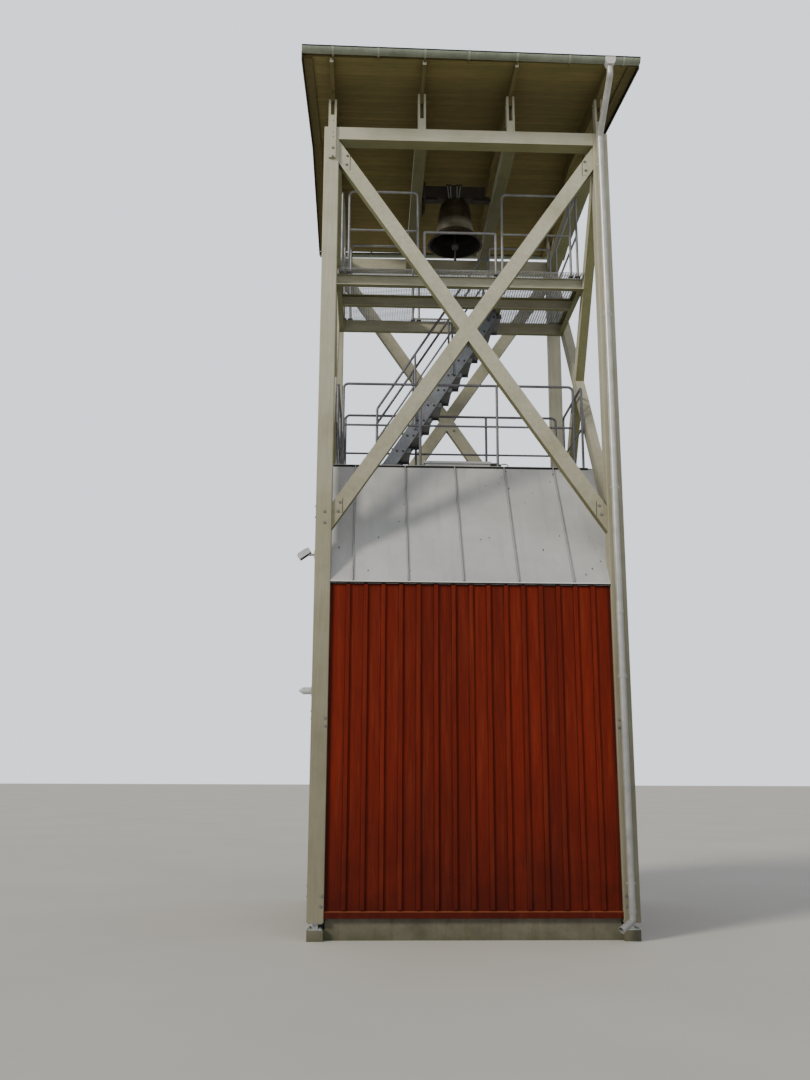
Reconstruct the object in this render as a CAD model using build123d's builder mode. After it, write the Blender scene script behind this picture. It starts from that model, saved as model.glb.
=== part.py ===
from build123d import *
import os
from math import atan, cos, sin

# Timber bell tower: four posts, a clad shed, a bell platform and a low gable roof.
# Millimetres, +Z up, +Y away from the front, origin under the middle of the plan.

# plan
HALF = 1750.0          # middle of the plan to the outer face of the posts
POST = 180.0           # square post
SEAT = 0.3             # gap between pieces that rest on one another
IN = HALF - POST       # inner face of the posts
FREE = IN - SEAT       # what stands between the posts ends here
MID_POST = HALF - POST / 2

# heights, each measured from the one below it
Z_PAD = 110.0          # top of the pads under the posts
SHOE_H = 75.0          # steel shoe between pad and post
PLINTH_H = 262.0
SHED_H = 3528.0        # plinth to the lower edge of the leaning skirts
SKIRT_H = 1635.0       # rise of the skirts
DECK_UP = 24.0         # deck above the head of the skirts
PLAT_H = 2546.0        # deck to the top of the platform joists
BELL_ROOM = 1290.0     # platform joists to the underside of the top beams
BEAM_H = 166.0
RIDGE_H = 899.0        # top beams to the underside of the roof boards at the ridge
BRACE_UP = 595.0       # foot of the crossed braces above the skirts' lower edge
Z_POST = Z_PAD + SHOE_H
Z_EAVE_WALL = PLINTH_H + SHED_H
Z_SKIRT = Z_EAVE_WALL + SKIRT_H
Z_DECK = Z_SKIRT + DECK_UP
Z_PLAT = Z_DECK + PLAT_H
Z_BEAM = Z_PLAT + BELL_ROOM
Z_BEAM_TOP = Z_BEAM + BEAM_H
Z_RIDGE = Z_BEAM_TOP + RIDGE_H
Z_CROSS = (Z_EAVE_WALL + BRACE_UP + Z_BEAM) / 2

# sections
PLINTH_T = 220.0
WALL_BACK = 42.0       # wall face behind the posts' face
PLINTH_BACK = 43.0     # plinth face behind the wall face
WALL_T = 120.0
SKIRT_T = 45.0
SEAM_H = 25.0          # standing seam
SEAM_T = 8.0
SEAM_PITCH = 619.5
DECK_HALF = 655.0
DECK_T = 60.0
BRACE_W = 170.0
BRACE_T = 115.0
TUBE_R = 17.0
WALL_FACE = HALF - WALL_BACK
PLINTH_FACE = WALL_FACE - PLINTH_BACK
SKIRT_OUT = HALF - 5
BRACE_IN = MID_POST - BRACE_T / 2

# roof
GABLE_OUT = 260.0      # roof sheet beyond the posts at the gables
EAVE_OUT = 600.0       # roof boards beyond the posts at the eaves
ROOF_X = HALF + GABLE_OUT
ROOF_Y = HALF + EAVE_OUT
ROOF_SLOPE = 0.162
BOARD_T = 23.0
SHEET_T = 30.0
VERGE_W = 109.0
RAFTER_T = 45.0
RAFTER_D = 255.0
RAFTER_OUT = MID_POST - 5
RAFTER_X = [-RAFTER_OUT, -RAFTER_OUT / 3, RAFTER_OUT / 3, RAFTER_OUT]

# bell
BELL_R = 380.0
BELL_H = 650.0
BELL_HANG = 55.0       # pivot down to the top of the bell
PIVOT_UP = 94.0        # pivot above the top beams
BELL_BEAM_X = 556.0
PIVOT = Z_BEAM_TOP + PIVOT_UP
BELL_TOP = PIVOT - BELL_HANG
BELL_LIP = BELL_TOP - BELL_H
CLAPPER_HANG = 160.0   # top of the bell down to the clapper's pin
CLAPPER_PIVOT = BELL_TOP - CLAPPER_HANG

os.makedirs("parts", exist_ok=True)


def box(x0, x1, y0, y1, z0, z1):
    """a block between two corners, added to the part being built"""
    with Locations(((x0 + x1) / 2, (y0 + y1) / 2, (z0 + z1) / 2)):
        Box(abs(x1 - x0), abs(y1 - y0), abs(z1 - z0))


def hole(x0, x1, y0, y1, z0, z1):
    """a block between two corners, cut from the part being built"""
    with Locations(((x0 + x1) / 2, (y0 + y1) / 2, (z0 + z1) / 2)):
        Box(abs(x1 - x0), abs(y1 - y0), abs(z1 - z0), mode=Mode.SUBTRACT)


def plate(plane, points, thickness):
    """a flat outline pushed out by its thickness along the plane's normal"""
    with BuildSketch(plane) as outline:
        Polygon(*points, align=None)
    extrude(to_extrude=outline.sketch, amount=thickness)


def rod(start, end, radius):
    """a round bar from one point to another"""
    way = Vector(*end) - Vector(*start)
    with BuildSketch(Plane(origin=start, z_dir=way.normalized())) as ring:
        Circle(radius)
    extrude(to_extrude=ring.sketch, amount=way.length)


def bent_rod(points, bend, radius):
    """a round bar that follows points with rounded corners"""
    first = Vector(*points[0])
    way = Vector(*points[1]) - first
    with BuildLine() as path:
        FilletPolyline(*points, radius=bend)
    with BuildSketch(Plane(origin=first, z_dir=way.normalized())) as ring:
        Circle(radius)
    sweep(sections=ring.sketch, path=path.line)


def across(centre, length, radius, mode=Mode.ADD):
    """a round bar or hole along X, given its middle"""
    with Locations(Location(centre, (0, 90, 0))):
        Cylinder(radius, length, mode=mode)


def save(part, label):
    """name the finished piece and write it out"""
    part.label = label
    export_step(part, "parts/" + label + ".step")


# Plinth: a concrete ring down to the lowest ground, with a pad under each post.
with BuildPart() as plinth:
    box(-PLINTH_FACE, PLINTH_FACE, -PLINTH_FACE, PLINTH_FACE, 0, PLINTH_H)
    inside = PLINTH_FACE - PLINTH_T
    hole(-inside, inside, -inside, inside, -1, PLINTH_H + 1)
    around = POST / 2 + 10
    pad = POST / 2 - 5
    for sx in (-1, 1):
        for sy in (-1, 1):
            cx = sx * MID_POST
            cy = sy * MID_POST
            hole(cx - around, cx + around, cy - around, cy + around, Z_PAD, PLINTH_H + 1)
            box(cx - pad, cx + pad, cy - pad, cy + pad, 0, Z_PAD)
save(plinth.part, "plinth")

# Post shoes: a base plate, a stem and a top plate in galvanised steel.
with BuildPart() as shoes:
    wide = POST / 2 - 15
    for sx in (-1, 1):
        for sy in (-1, 1):
            cx = sx * MID_POST
            cy = sy * MID_POST
            box(cx - wide, cx + wide, cy - wide, cy + wide, Z_PAD + SEAT, Z_PAD + 12)
            box(cx - 30, cx + 30, cy - 30, cy + 30, Z_PAD + 12, Z_POST - 12)
            box(cx - wide, cx + wide, cy - wide, cy + wide, Z_POST - 12, Z_POST - SEAT)
save(shoes.part, "post_shoes")


def corner_post(sx, sy):
    """one square post with slightly eased edges"""
    with BuildPart() as post:
        with BuildSketch(Plane.XY.offset(Z_POST)):
            with Locations((sx * MID_POST, sy * MID_POST)):
                RectangleRounded(POST, POST, 8)
        extrude(amount=Z_BEAM_TOP - Z_POST)
    return post.part


save(corner_post(-1, -1), "post_front_left")
save(corner_post(1, -1), "post_front_right")
save(corner_post(-1, 1), "post_back_left")
save(corner_post(1, 1), "post_back_right")

# Skirt line: from the head of the wall leaning back to the edge of the deck.
SKIRT_IN = DECK_HALF + 10
SKIRT_SLOPE = SKIRT_H / (SKIRT_OUT - SKIRT_IN)
SKIRT_ANGLE = atan(SKIRT_SLOPE)
UNDER = SKIRT_T / cos(SKIRT_ANGLE)


def skirt_top(y):
    """height of the sheet's face at a distance y from the middle"""
    return Z_EAVE_WALL + (SKIRT_OUT - y) * SKIRT_SLOPE


def skirt_under(y):
    """height of the skirt's underside at a distance y from the middle"""
    return skirt_top(y) - UNDER


SKIRT_END = DECK_HALF + SEAT
LOW_Y = SKIRT_OUT - SKIRT_T * sin(SKIRT_ANGLE)
LOW_Z = Z_EAVE_WALL - SKIRT_T * cos(SKIRT_ANGLE)
SKIRT_REACH = HALF - 20
SEAM_X = [-84 + SEAM_PITCH * k for k in (-2, -1, 0, 1, 2)]


def skirt(side):
    """a leaning sheet roof between the posts with standing seams; side is -1 at the front"""
    outline = [(-SKIRT_OUT, Z_EAVE_WALL), (-SKIRT_END, skirt_top(SKIRT_END)),
               (-SKIRT_END, skirt_under(SKIRT_END)), (-LOW_Y, LOW_Z)]
    up_y = SEAM_H * sin(SKIRT_ANGLE)
    up_z = SEAM_H * cos(SKIRT_ANGLE)
    seam = [(-SKIRT_OUT, Z_EAVE_WALL), (-SKIRT_END, skirt_top(SKIRT_END)),
            (-SKIRT_END - up_y, skirt_top(SKIRT_END) + up_z), (-SKIRT_OUT - up_y, Z_EAVE_WALL + up_z)]
    with BuildPart() as part:
        plate(Plane.YZ.offset(-SKIRT_REACH), [(-side * a, b) for a, b in outline], 2 * SKIRT_REACH)
        for sx in (-1, 1):
            inner = sx * (IN - SEAT)
            outer = sx * (HALF + POST)
            hole(inner, outer, side * (IN - SEAT), side * (HALF + POST), LOW_Z - POST, Z_SKIRT)
        for x in SEAM_X:
            plate(Plane.YZ.offset(x - SEAM_T / 2), [(-side * a, b) for a, b in seam], SEAM_T)
    return part.part


save(skirt(-1), "skirt_front")
save(skirt(1), "skirt_back")


def eave_wall(side):
    """front or back wall of the shed, its head cut to the skirt's slope"""
    low = WALL_FACE - WALL_T
    foot = PLINTH_H + SEAT
    outline = [(-WALL_FACE, foot), (-low, foot),
               (-low, skirt_under(low) - SEAT), (-WALL_FACE, skirt_under(WALL_FACE) - SEAT)]
    with BuildPart() as part:
        plate(Plane.YZ.offset(-FREE), [(-side * a, b) for a, b in outline], 2 * FREE)
    return part.part


save(eave_wall(-1), "wall_front")
save(eave_wall(1), "wall_back")


def gable_wall(side):
    """side wall of the shed, following both skirts up to the deck"""
    foot = PLINTH_H + SEAT
    head = Z_DECK - DECK_T - SEAT
    knee = SKIRT_OUT - (head + SEAT + UNDER - Z_EAVE_WALL) / SKIRT_SLOPE
    outline = [(-FREE, foot), (FREE, foot), (FREE, skirt_under(FREE) - SEAT),
               (knee, head), (-knee, head), (-FREE, skirt_under(FREE) - SEAT)]
    start = WALL_FACE - WALL_T if side > 0 else -WALL_FACE
    with BuildPart() as part:
        plate(Plane.YZ.offset(start), outline, WALL_T)
    return part.part


save(gable_wall(-1), "wall_left")
save(gable_wall(1), "wall_right")

# Drip boards along the foot of the four walls, with a sloping top.
DRIP_H = 70.0
DRIP_T = WALL_BACK - 10
with BuildPart() as drip:
    near = WALL_FACE + SEAT
    far = WALL_FACE + DRIP_T
    low = PLINTH_H - DRIP_H / 2
    high = PLINTH_H + DRIP_H / 2
    for side in (-1, 1):
        outline = [(side * near, low), (side * far, low), (side * far, high - 10), (side * near, high)]
        plate(Plane.YZ.offset(-FREE), outline, 2 * FREE)
        plate(Plane.XZ.offset(-FREE), outline, 2 * FREE)
save(drip.part, "drip_boards")

# Deck between the skirts, with a way up through it.
RAIL_Y = DECK_HALF - 49
HATCH_L = 830.0
HATCH_W = 400.0
HATCH_H = 115.0
CURB_T = 50.0
HATCH_X = -30.0
HATCH_Y = HATCH_W / 2 + 106 - RAIL_Y
with BuildPart() as deck:
    box(-SKIRT_REACH, SKIRT_REACH, -DECK_HALF, DECK_HALF, Z_DECK - DECK_T, Z_DECK)
    way_l = HATCH_L / 2 - CURB_T
    way_w = HATCH_W / 2 - CURB_T
    hole(HATCH_X - way_l, HATCH_X + way_l, HATCH_Y - way_w, HATCH_Y + way_w, Z_DECK - DECK_T - 1, Z_DECK + 1)
save(deck.part, "deck")

# Deck hatch: a curb with its lid and a latch housing at the right end.
with BuildPart() as hatch:
    half_l = HATCH_L / 2
    half_w = HATCH_W / 2
    z_lid = Z_DECK + HATCH_H - 30
    box(HATCH_X - half_l, HATCH_X + half_l, HATCH_Y - half_w, HATCH_Y + half_w, Z_DECK + SEAT, z_lid)
    hole(HATCH_X - way_l, HATCH_X + way_l, HATCH_Y - way_w, HATCH_Y + way_w, Z_DECK, z_lid + 1)
    lid_l = half_l + 15
    lid_w = half_w + 15
    box(HATCH_X - lid_l, HATCH_X + lid_l, HATCH_Y - lid_w, HATCH_Y + lid_w, z_lid, Z_DECK + HATCH_H)
    box(HATCH_X + half_l, HATCH_X + half_l + 150, HATCH_Y - 45, HATCH_Y + 45, Z_DECK + SEAT, z_lid)
save(hatch.part, "deck_hatch")


def top_beam(side):
    """beam between two posts, flush with both of their faces"""
    with BuildPart() as part:
        box(-FREE, FREE, side * IN, side * HALF, Z_BEAM, Z_BEAM_TOP)
    return part.part


save(top_beam(-1), "beam_front")
save(top_beam(1), "beam_back")

with BuildPart() as side_beams:
    for side in (-1, 1):
        box(side * IN, side * HALF, -FREE, FREE, Z_BEAM, Z_BEAM_TOP)
save(side_beams.part, "beams_side")

# Two bell beams between the front and the back beam.
BELL_BEAM_W = 145.0
with BuildPart() as bell_beams:
    for side in (-1, 1):
        cx = side * BELL_BEAM_X
        box(cx - BELL_BEAM_W / 2, cx + BELL_BEAM_W / 2, -FREE, FREE, Z_BEAM, Z_BEAM_TOP)
save(bell_beams.part, "bell_beams")

# Diagonal braces: one runs through, the other is cut at the crossing.
RISE = 0.0
for _ in range(6):
    lean = cos(atan(RISE)) if RISE else 0.56
    RISE = (Z_BEAM - SEAT - BRACE_W / lean / 2 - Z_CROSS) / FREE
BRACE_V = BRACE_W / cos(atan(RISE))


def brace_outlines(turn):
    """the through brace and the two halves; turn -1 mirrors them"""
    half_v = BRACE_V / 2
    reach = RISE * FREE
    through = [(-FREE, Z_CROSS - reach - half_v), (FREE, Z_CROSS + reach - half_v),
               (FREE, Z_CROSS + reach + half_v), (-FREE, Z_CROSS - reach + half_v)]
    apex = SEAT / (2 * RISE)
    foot = (BRACE_V + SEAT) / (2 * RISE)
    upper = [(-FREE, Z_CROSS + reach - half_v), (-foot, Z_CROSS + SEAT / 2),
             (-apex, Z_CROSS + half_v + SEAT / 2), (-FREE, Z_CROSS + reach + half_v)]
    lower = [(-a, 2 * Z_CROSS - b) for a, b in upper]
    return [[(turn * a, b) for a, b in shape] for shape in (through, upper, lower)]


with BuildPart() as front_braces:
    for shape in brace_outlines(1):
        plate(Plane.XZ.offset(BRACE_IN), shape, BRACE_T)
save(front_braces.part, "braces_front")

with BuildPart() as back_braces:
    for shape in brace_outlines(1):
        plate(Plane.XZ.offset(-BRACE_IN - BRACE_T), shape, BRACE_T)
save(back_braces.part, "braces_back")

with BuildPart() as side_braces:
    for start in (BRACE_IN, -BRACE_IN - BRACE_T):
        for shape in brace_outlines(-1):
            plate(Plane.YZ.offset(start), shape, BRACE_T)
save(side_braces.part, "braces_side")


def roof_under(y):
    """underside of the roof boards at a distance y from the ridge"""
    return Z_RIDGE - ROOF_SLOPE * y


# Forks that carry the rafters on the front and back beams.
CHEEK = 26.0
FORK_D = 110.0         # front to back
FORK_BLOCK = 149.0     # block between the cheeks, above the beam
FORK_DROPS = [236.0, 126.0, 126.0, 136.0]   # cheek tops below the boards
with BuildPart() as forks:
    g = RAFTER_T / 2 + SEAT
    base = Z_BEAM_TOP + SEAT
    for cx, drop in zip(RAFTER_X, FORK_DROPS):
        for side in (-1, 1):
            near = side * (HALF - FORK_D)
            far = side * HALF
            head = roof_under(HALF) - drop
            box(cx - g - CHEEK, cx - g, near, far, base, head)
            box(cx + g, cx + g + CHEEK, near, far, base, head)
            box(cx - g, cx + g, near, far, base, Z_BEAM_TOP + FORK_BLOCK)
save(forks.part, "rafter_forks")

# Planks that tie the outer forks down to the posts.
TIE_W = 84.0
TIE_H = 584.0
with BuildPart() as ties:
    for cx in (-RAFTER_OUT + 5, RAFTER_OUT - 5):
        for side in (-1, 1):
            near = side * (HALF + SEAT)
            far = side * (HALF + CHEEK)
            top = Z_BEAM_TOP + FORK_BLOCK
            box(cx - TIE_W / 2, cx + TIE_W / 2, near, far, top - TIE_H, top)
save(ties.part, "tie_planks")

# Rafters: deep between the forks, with a slender tail at the eave.
with BuildPart() as rafters:
    tail = ROOF_Y - 20
    knee = HALF + 5
    for side in (-1, 1):
        outline = [(SEAT, roof_under(SEAT) - SEAT), (tail, roof_under(tail) - SEAT),
                   (tail, roof_under(tail) - 60), (knee, roof_under(knee) - RAFTER_D / 2),
                   (knee, roof_under(knee) - RAFTER_D), (SEAT, roof_under(SEAT) - RAFTER_D)]
        for cx in RAFTER_X:
            plate(Plane.YZ.offset(cx - RAFTER_T / 2), [(side * a, b) for a, b in outline], RAFTER_T)
save(rafters.part, "rafters")

BOARD_X = ROOF_X - 20
BOARD_Y = ROOF_Y - 10


def roof_boards(side):
    """one slope of roof boards"""
    outline = [(SEAT, roof_under(SEAT)), (BOARD_Y, roof_under(BOARD_Y)),
               (BOARD_Y, roof_under(BOARD_Y) + BOARD_T), (SEAT, roof_under(SEAT) + BOARD_T)]
    with BuildPart() as part:
        plate(Plane.YZ.offset(-BOARD_X), [(side * a, b) for a, b in outline], 2 * BOARD_X)
    return part.part


save(roof_boards(-1), "roof_boards_front")
save(roof_boards(1), "roof_boards_back")

# Verge boards along the rakes, under the ends of the roof boards.
VERGE_T = 22.0
with BuildPart() as verges:
    for side in (-1, 1):
        outline = [(SEAT, roof_under(SEAT) - SEAT), (BOARD_Y, roof_under(BOARD_Y) - SEAT),
                   (BOARD_Y, roof_under(BOARD_Y) - VERGE_T), (SEAT, roof_under(SEAT) - VERGE_T)]
        for start in (-BOARD_X, BOARD_X - VERGE_W):
            plate(Plane.YZ.offset(start), [(side * a, b) for a, b in outline], VERGE_W)
save(verges.part, "verge_boards")


def gable_band(reach, low, high):
    """outline that follows both slopes between two heights above the boards' underside"""
    end = roof_under(reach)
    return [(-reach, end + low), (0, Z_RIDGE + low), (reach, end + low),
            (reach, end + high), (0, Z_RIDGE + high), (-reach, end + high)]


# Sheet covering folded over the ridge, with seams, a ridge cap and turned-down verges.
SHEET_Y = ROOF_Y + 30
APRON_T = 12.0
with BuildPart() as covering:
    low = BOARD_T + SEAT
    high = BOARD_T + SHEET_T
    plate(Plane.YZ.offset(-ROOF_X), gable_band(SHEET_Y, low, high), 2 * ROOF_X)
    for start in (-ROOF_X, ROOF_X - APRON_T):
        plate(Plane.YZ.offset(start), gable_band(SHEET_Y, -2 * SHEET_T, low + 5), APRON_T)
    for k in range(-3, 4):
        x = k * SEAM_PITCH - SEAM_T / 2
        plate(Plane.YZ.offset(x), gable_band(SHEET_Y, high - 2, high + SEAM_H), SEAM_T)
    plate(Plane.YZ.offset(-ROOF_X), gable_band(VERGE_W + 30, high - 2, high + SEAM_H + 5), 2 * ROOF_X)
save(covering.part, "roof_covering")

# Half-round gutters with a fall to the outlet, hung on brackets from the roof boards.
GUTTER_R = 55.0
GUTTER_UP = 4.0        # straight side above the half round
GUTTER_FALL = 42.0
GUTTER_LIP = 47.0      # high end of the lip above the boards' underside at the eave
GUTTER_L = 2 * ROOF_X - 20
GUTTER_Y = SHEET_Y + 2 + GUTTER_R
Z_LIP = roof_under(ROOF_Y) + GUTTER_LIP
PIPE_R = 38.0
PIPE_X = HALF - 110
HOPPER_W = 120.0
BRACKET_X = [-1638, -1101, -548, -30, 543, 1163, 1806]


def lip_at(x):
    """height of the front gutter's lip; it falls to the right"""
    return Z_LIP - GUTTER_FALL * (x + GUTTER_L / 2) / GUTTER_L


def channel(radius, rise, inset):
    """a solid length of gutter section along its fall, from one inset end to the other"""
    start = -GUTTER_L / 2 + inset
    along = Vector(1, 0, -GUTTER_FALL / GUTTER_L).normalized()
    foot = (start, -GUTTER_Y, lip_at(start) - GUTTER_UP)
    with BuildSketch(Plane(origin=foot, x_dir=(0, 1, 0), z_dir=along)) as cut:
        Circle(radius)
        with Locations((0, radius)):
            Rectangle(3 * radius, 2 * radius, mode=Mode.SUBTRACT)
        with Locations((0, rise / 2)):
            Rectangle(2 * radius, rise)
    return extrude(to_extrude=cut.sketch, amount=GUTTER_L - 2 * inset, mode=Mode.PRIVATE)


HOPPER_TOP = lip_at(PIPE_X) - 8
HOPPER_LOW = HOPPER_TOP - GUTTER_UP - GUTTER_R - 32
with BuildPart() as front_gutter:
    half = HOPPER_W / 2
    narrow = PIPE_R + 2
    knee = (HOPPER_TOP + HOPPER_LOW) / 2
    hopper = [(PIPE_X - half, HOPPER_TOP), (PIPE_X - half, knee), (PIPE_X - narrow, HOPPER_LOW),
              (PIPE_X + narrow, HOPPER_LOW), (PIPE_X + half, knee), (PIPE_X + half, HOPPER_TOP)]
    plate(Plane.XZ.offset(GUTTER_Y - narrow), hopper, GUTTER_R + narrow + 5)
    add(channel(GUTTER_R, GUTTER_UP, 0))
    for x in BRACKET_X:
        z = roof_under(ROOF_Y)
        hanger = [(-BOARD_Y - SEAT, z - 30), (-BOARD_Y - SEAT, z + 15), (40 - GUTTER_Y, z + 15), (20 - GUTTER_Y, z - 5)]
        plate(Plane.YZ.offset(x - 12), hanger, 24)
    add(channel(GUTTER_R - 4, GUTTER_R, 4), mode=Mode.SUBTRACT)
    with Locations((PIPE_X, -GUTTER_Y, HOPPER_LOW + 40)):
        Cylinder(PIPE_R - 3, 100, mode=Mode.SUBTRACT)
with BuildPart() as gutters:
    add(front_gutter.part)
    add(front_gutter.part.rotate(Axis.Z, 180))
save(gutters.part, "gutters")

# Downpipes: outlet, slanted offset, straight drop with sockets and clamps, shoe at the foot.
PIPE_GAP = 34.0
PIPE_Y = HALF + PIPE_GAP + PIPE_R
SHOE_Z = 215.0
with BuildPart() as front_pipe:
    top = HOPPER_LOW - SEAT
    bend = Z_BEAM + 84
    end = (PIPE_X - 140, -PIPE_Y - 78, SHOE_Z - 84)
    way = [(PIPE_X, -GUTTER_Y, top), (PIPE_X, -GUTTER_Y, top - 100), (PIPE_X, -PIPE_Y, bend),
           (PIPE_X, -PIPE_Y, SHOE_Z), end]
    bent_rod(way, 45, PIPE_R)
    for z in (bend - 70, Z_PLAT - 975, Z_DECK - 550, Z_EAVE_WALL - 330, Z_EAVE_WALL - 1030, PLINTH_H + 45):
        with Locations((PIPE_X, -PIPE_Y, z)):
            Cylinder(PIPE_R + 4, 45)
    for z in (bend - 399, Z_PLAT - 995, Z_DECK - 570, Z_EAVE_WALL - 1050, PLINTH_H + 325):
        with Locations((PIPE_X, -PIPE_Y, z)):
            Cylinder(PIPE_R + 3, 22)
        box(PIPE_X - 10, PIPE_X + 10, -PIPE_Y + PIPE_R - 6, -HALF - SEAT, z - 10, z + 10)
        box(PIPE_X - PIPE_R - 14, PIPE_X + PIPE_R + 14, -PIPE_Y - 5, -PIPE_Y + 5, z - 11, z + 11)
    mouth = Vector(*way[4]) - Vector(*way[3])
    with BuildSketch(Plane(origin=end, z_dir=-mouth.normalized())) as bore:
        Circle(PIPE_R - 4)
    extrude(to_extrude=bore.sketch, amount=60, mode=Mode.SUBTRACT)
with BuildPart() as downpipes:
    add(front_pipe.part)
    add(front_pipe.part.rotate(Axis.Z, 180))
save(downpipes.part, "downpipes")

# Stair between the deck and the platform; its place also sets the platform's openings.
STEPS = 12
STAIR_TOP_X = 532.0
STAIR_SLOPE = 1.561
STAIR_W = 575.0
STRINGER_D = 190.0
STRINGER_T = 10.0
STAIR_Y1 = RAIL_Y - TUBE_R - 54
STAIR_Y0 = STAIR_Y1 - STAIR_W
GRATE_T = 25.0
Z_WALK = Z_PLAT + SEAT + GRATE_T
STEP_RISE = (Z_WALK - Z_DECK) / STEPS
STAIR_FOOT_X = STAIR_TOP_X - (Z_WALK - Z_DECK) / STAIR_SLOPE


def stair_z(x):
    """height of the stringers' upper edge at x"""
    return Z_DECK + (x - STAIR_FOOT_X) * STAIR_SLOPE


with BuildPart() as stringers:
    end_x = STAIR_TOP_X + 20
    head = Z_PLAT - 12
    outline = [(STAIR_FOOT_X, Z_DECK + SEAT), (STAIR_FOOT_X + STRINGER_D, Z_DECK + SEAT),
               (end_x, stair_z(end_x - STRINGER_D)), (end_x, head), (STAIR_TOP_X - 12, head)]
    for ya in (STAIR_Y0, STAIR_Y1 - STRINGER_T):
        plate(Plane.XZ.offset(-ya - STRINGER_T), outline, STRINGER_T)
save(stringers.part, "stair_stringers")

# Treads: trays with a turned-down nosing and end plates against the stringers.
TREAD_T = 32.0
with BuildPart() as treads:
    ya = STAIR_Y0 + STRINGER_T + SEAT
    yb = STAIR_Y1 - STRINGER_T - SEAT
    for k in range(1, STEPS):
        z = Z_DECK + STEP_RISE * k
        x = STAIR_FOOT_X + STEP_RISE * k / STAIR_SLOPE
        front = x - 20
        back = x + STRINGER_D + 45
        box(front, back, ya, yb, z - TREAD_T, z)
        box(front, front + 8, ya, yb, z - TREAD_T - 22, z)
        for y0 in (ya, yb - 6):
            box(x + 20, back, y0, y0 + 6, z - TREAD_T - 28, z)
save(treads.part, "stair_treads")

# Handrails: bent tubes bolted to the outer faces of the stringers.
HAND_UP = 870.0
HAND_X0 = STAIR_FOOT_X + 60
HAND_X1 = STAIR_TOP_X - 80
with BuildPart() as handrails:
    for ya in (STAIR_Y0 - TUBE_R - SEAT, STAIR_Y1 + TUBE_R + SEAT):
        zb = stair_z(HAND_X0) + HAND_UP
        zt = stair_z(HAND_X1) + HAND_UP
        low = stair_z(HAND_X1) - STRINGER_D
        bent_rod([(HAND_X0, ya, Z_DECK + SEAT), (HAND_X0, ya, zb), (HAND_X1, ya, zt), (HAND_X1, ya, low)], 60, TUBE_R)
        for t in (1 / 3, 2 / 3):
            x = HAND_X0 + (HAND_X1 - HAND_X0) * t
            rod((x, ya, stair_z(x) - STRINGER_D), (x, ya, stair_z(x) + HAND_UP), TUBE_R - 2)
        half_up = HAND_UP / 2
        rod((HAND_X0, ya, zb - half_up), (HAND_X1, ya, zt - half_up), TUBE_R - 4)
save(handrails.part, "stair_handrails")

# Bell platform: a welded frame of channels with open grating on it.
JOIST_H = 160.0
FLANGE = 70.0
FRAME_X = BRACE_IN - SEAT
FRAME_DEPTH = 1504.0
FRAME_BACK = 177.0     # platform behind the stair
FRAME_B = STAIR_Y1 + FRAME_BACK
FRAME_F = FRAME_B - FRAME_DEPTH
MID_Y = STAIR_Y0 - 144
WEB = 8.0
FLANGE_T = 10.0
TRIM_X = STAIR_TOP_X + 20 + SEAT
with BuildPart() as platform:
    z0 = Z_PLAT - JOIST_H
    for ya, web in ((FRAME_F, -1), (MID_Y, -1), (FRAME_B - FLANGE, 1)):
        upper = ya + FLANGE - 30 if ya == FRAME_F else ya
        box(-FRAME_X, FRAME_X, ya, ya + FLANGE, z0, z0 + FLANGE_T)
        box(-FRAME_X, FRAME_X, upper, ya + FLANGE, Z_PLAT - FLANGE_T, Z_PLAT)
        wy = ya + FLANGE - WEB if web < 0 else ya
        box(-FRAME_X, FRAME_X, wy, wy + WEB, z0, Z_PLAT)
    for sx in (-1, 1):
        xb = sx * (FRAME_X - FLANGE + 5)
        box(sx * FRAME_X, xb, FRAME_F, FRAME_B, z0, z0 + FLANGE_T)
        box(sx * FRAME_X, xb, FRAME_F + FLANGE - 30, FRAME_B, Z_PLAT - FLANGE_T, Z_PLAT)
        box(sx * FRAME_X, sx * (FRAME_X - WEB), FRAME_F, FRAME_B, z0, Z_PLAT)
    ya = MID_Y + FLANGE - WEB
    yb = FRAME_B - FLANGE + WEB
    box(TRIM_X, TRIM_X + WEB, ya, yb, z0, Z_PLAT)
    box(TRIM_X, TRIM_X + FLANGE - 10, ya, yb, z0, z0 + FLANGE_T)
    box(TRIM_X, TRIM_X + FLANGE - 10, ya, yb, Z_PLAT - FLANGE_T, Z_PLAT)
save(platform.part, "platform_frame")

# Grating: it runs out past the front joist and leaves the stair's way open.
GRATE_OUT = 88.0
WELL_L = 1082.0
WELL_X0 = STAIR_TOP_X - WELL_L
with BuildPart() as grating:
    box(-FRAME_X, FRAME_X, FRAME_F - GRATE_OUT, FRAME_B, Z_PLAT + SEAT, Z_WALK)
    hole(WELL_X0, TRIM_X + 50, STAIR_Y0 - 55, STAIR_Y1 + 55, Z_PLAT - 1, Z_WALK + 1)
save(grating.part, "platform_grating")


# Railings of bent galvanised tube.
def railing(start, end, foot, top, mids, posts, bend):
    """an upside-down U of tube with mid rails and inner posts"""
    ax, ay = start
    bx, by = end
    bent_rod([(ax, ay, foot), (ax, ay, top), (bx, by, top), (bx, by, foot)], bend, TUBE_R)
    for z in mids:
        rod((ax, ay, z), (bx, by, z), TUBE_R - 3)
    for t in posts:
        x = ax + (bx - ax) * t
        y = ay + (by - ay) * t
        rod((x, y, foot), (x, y, top), TUBE_R)


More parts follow.
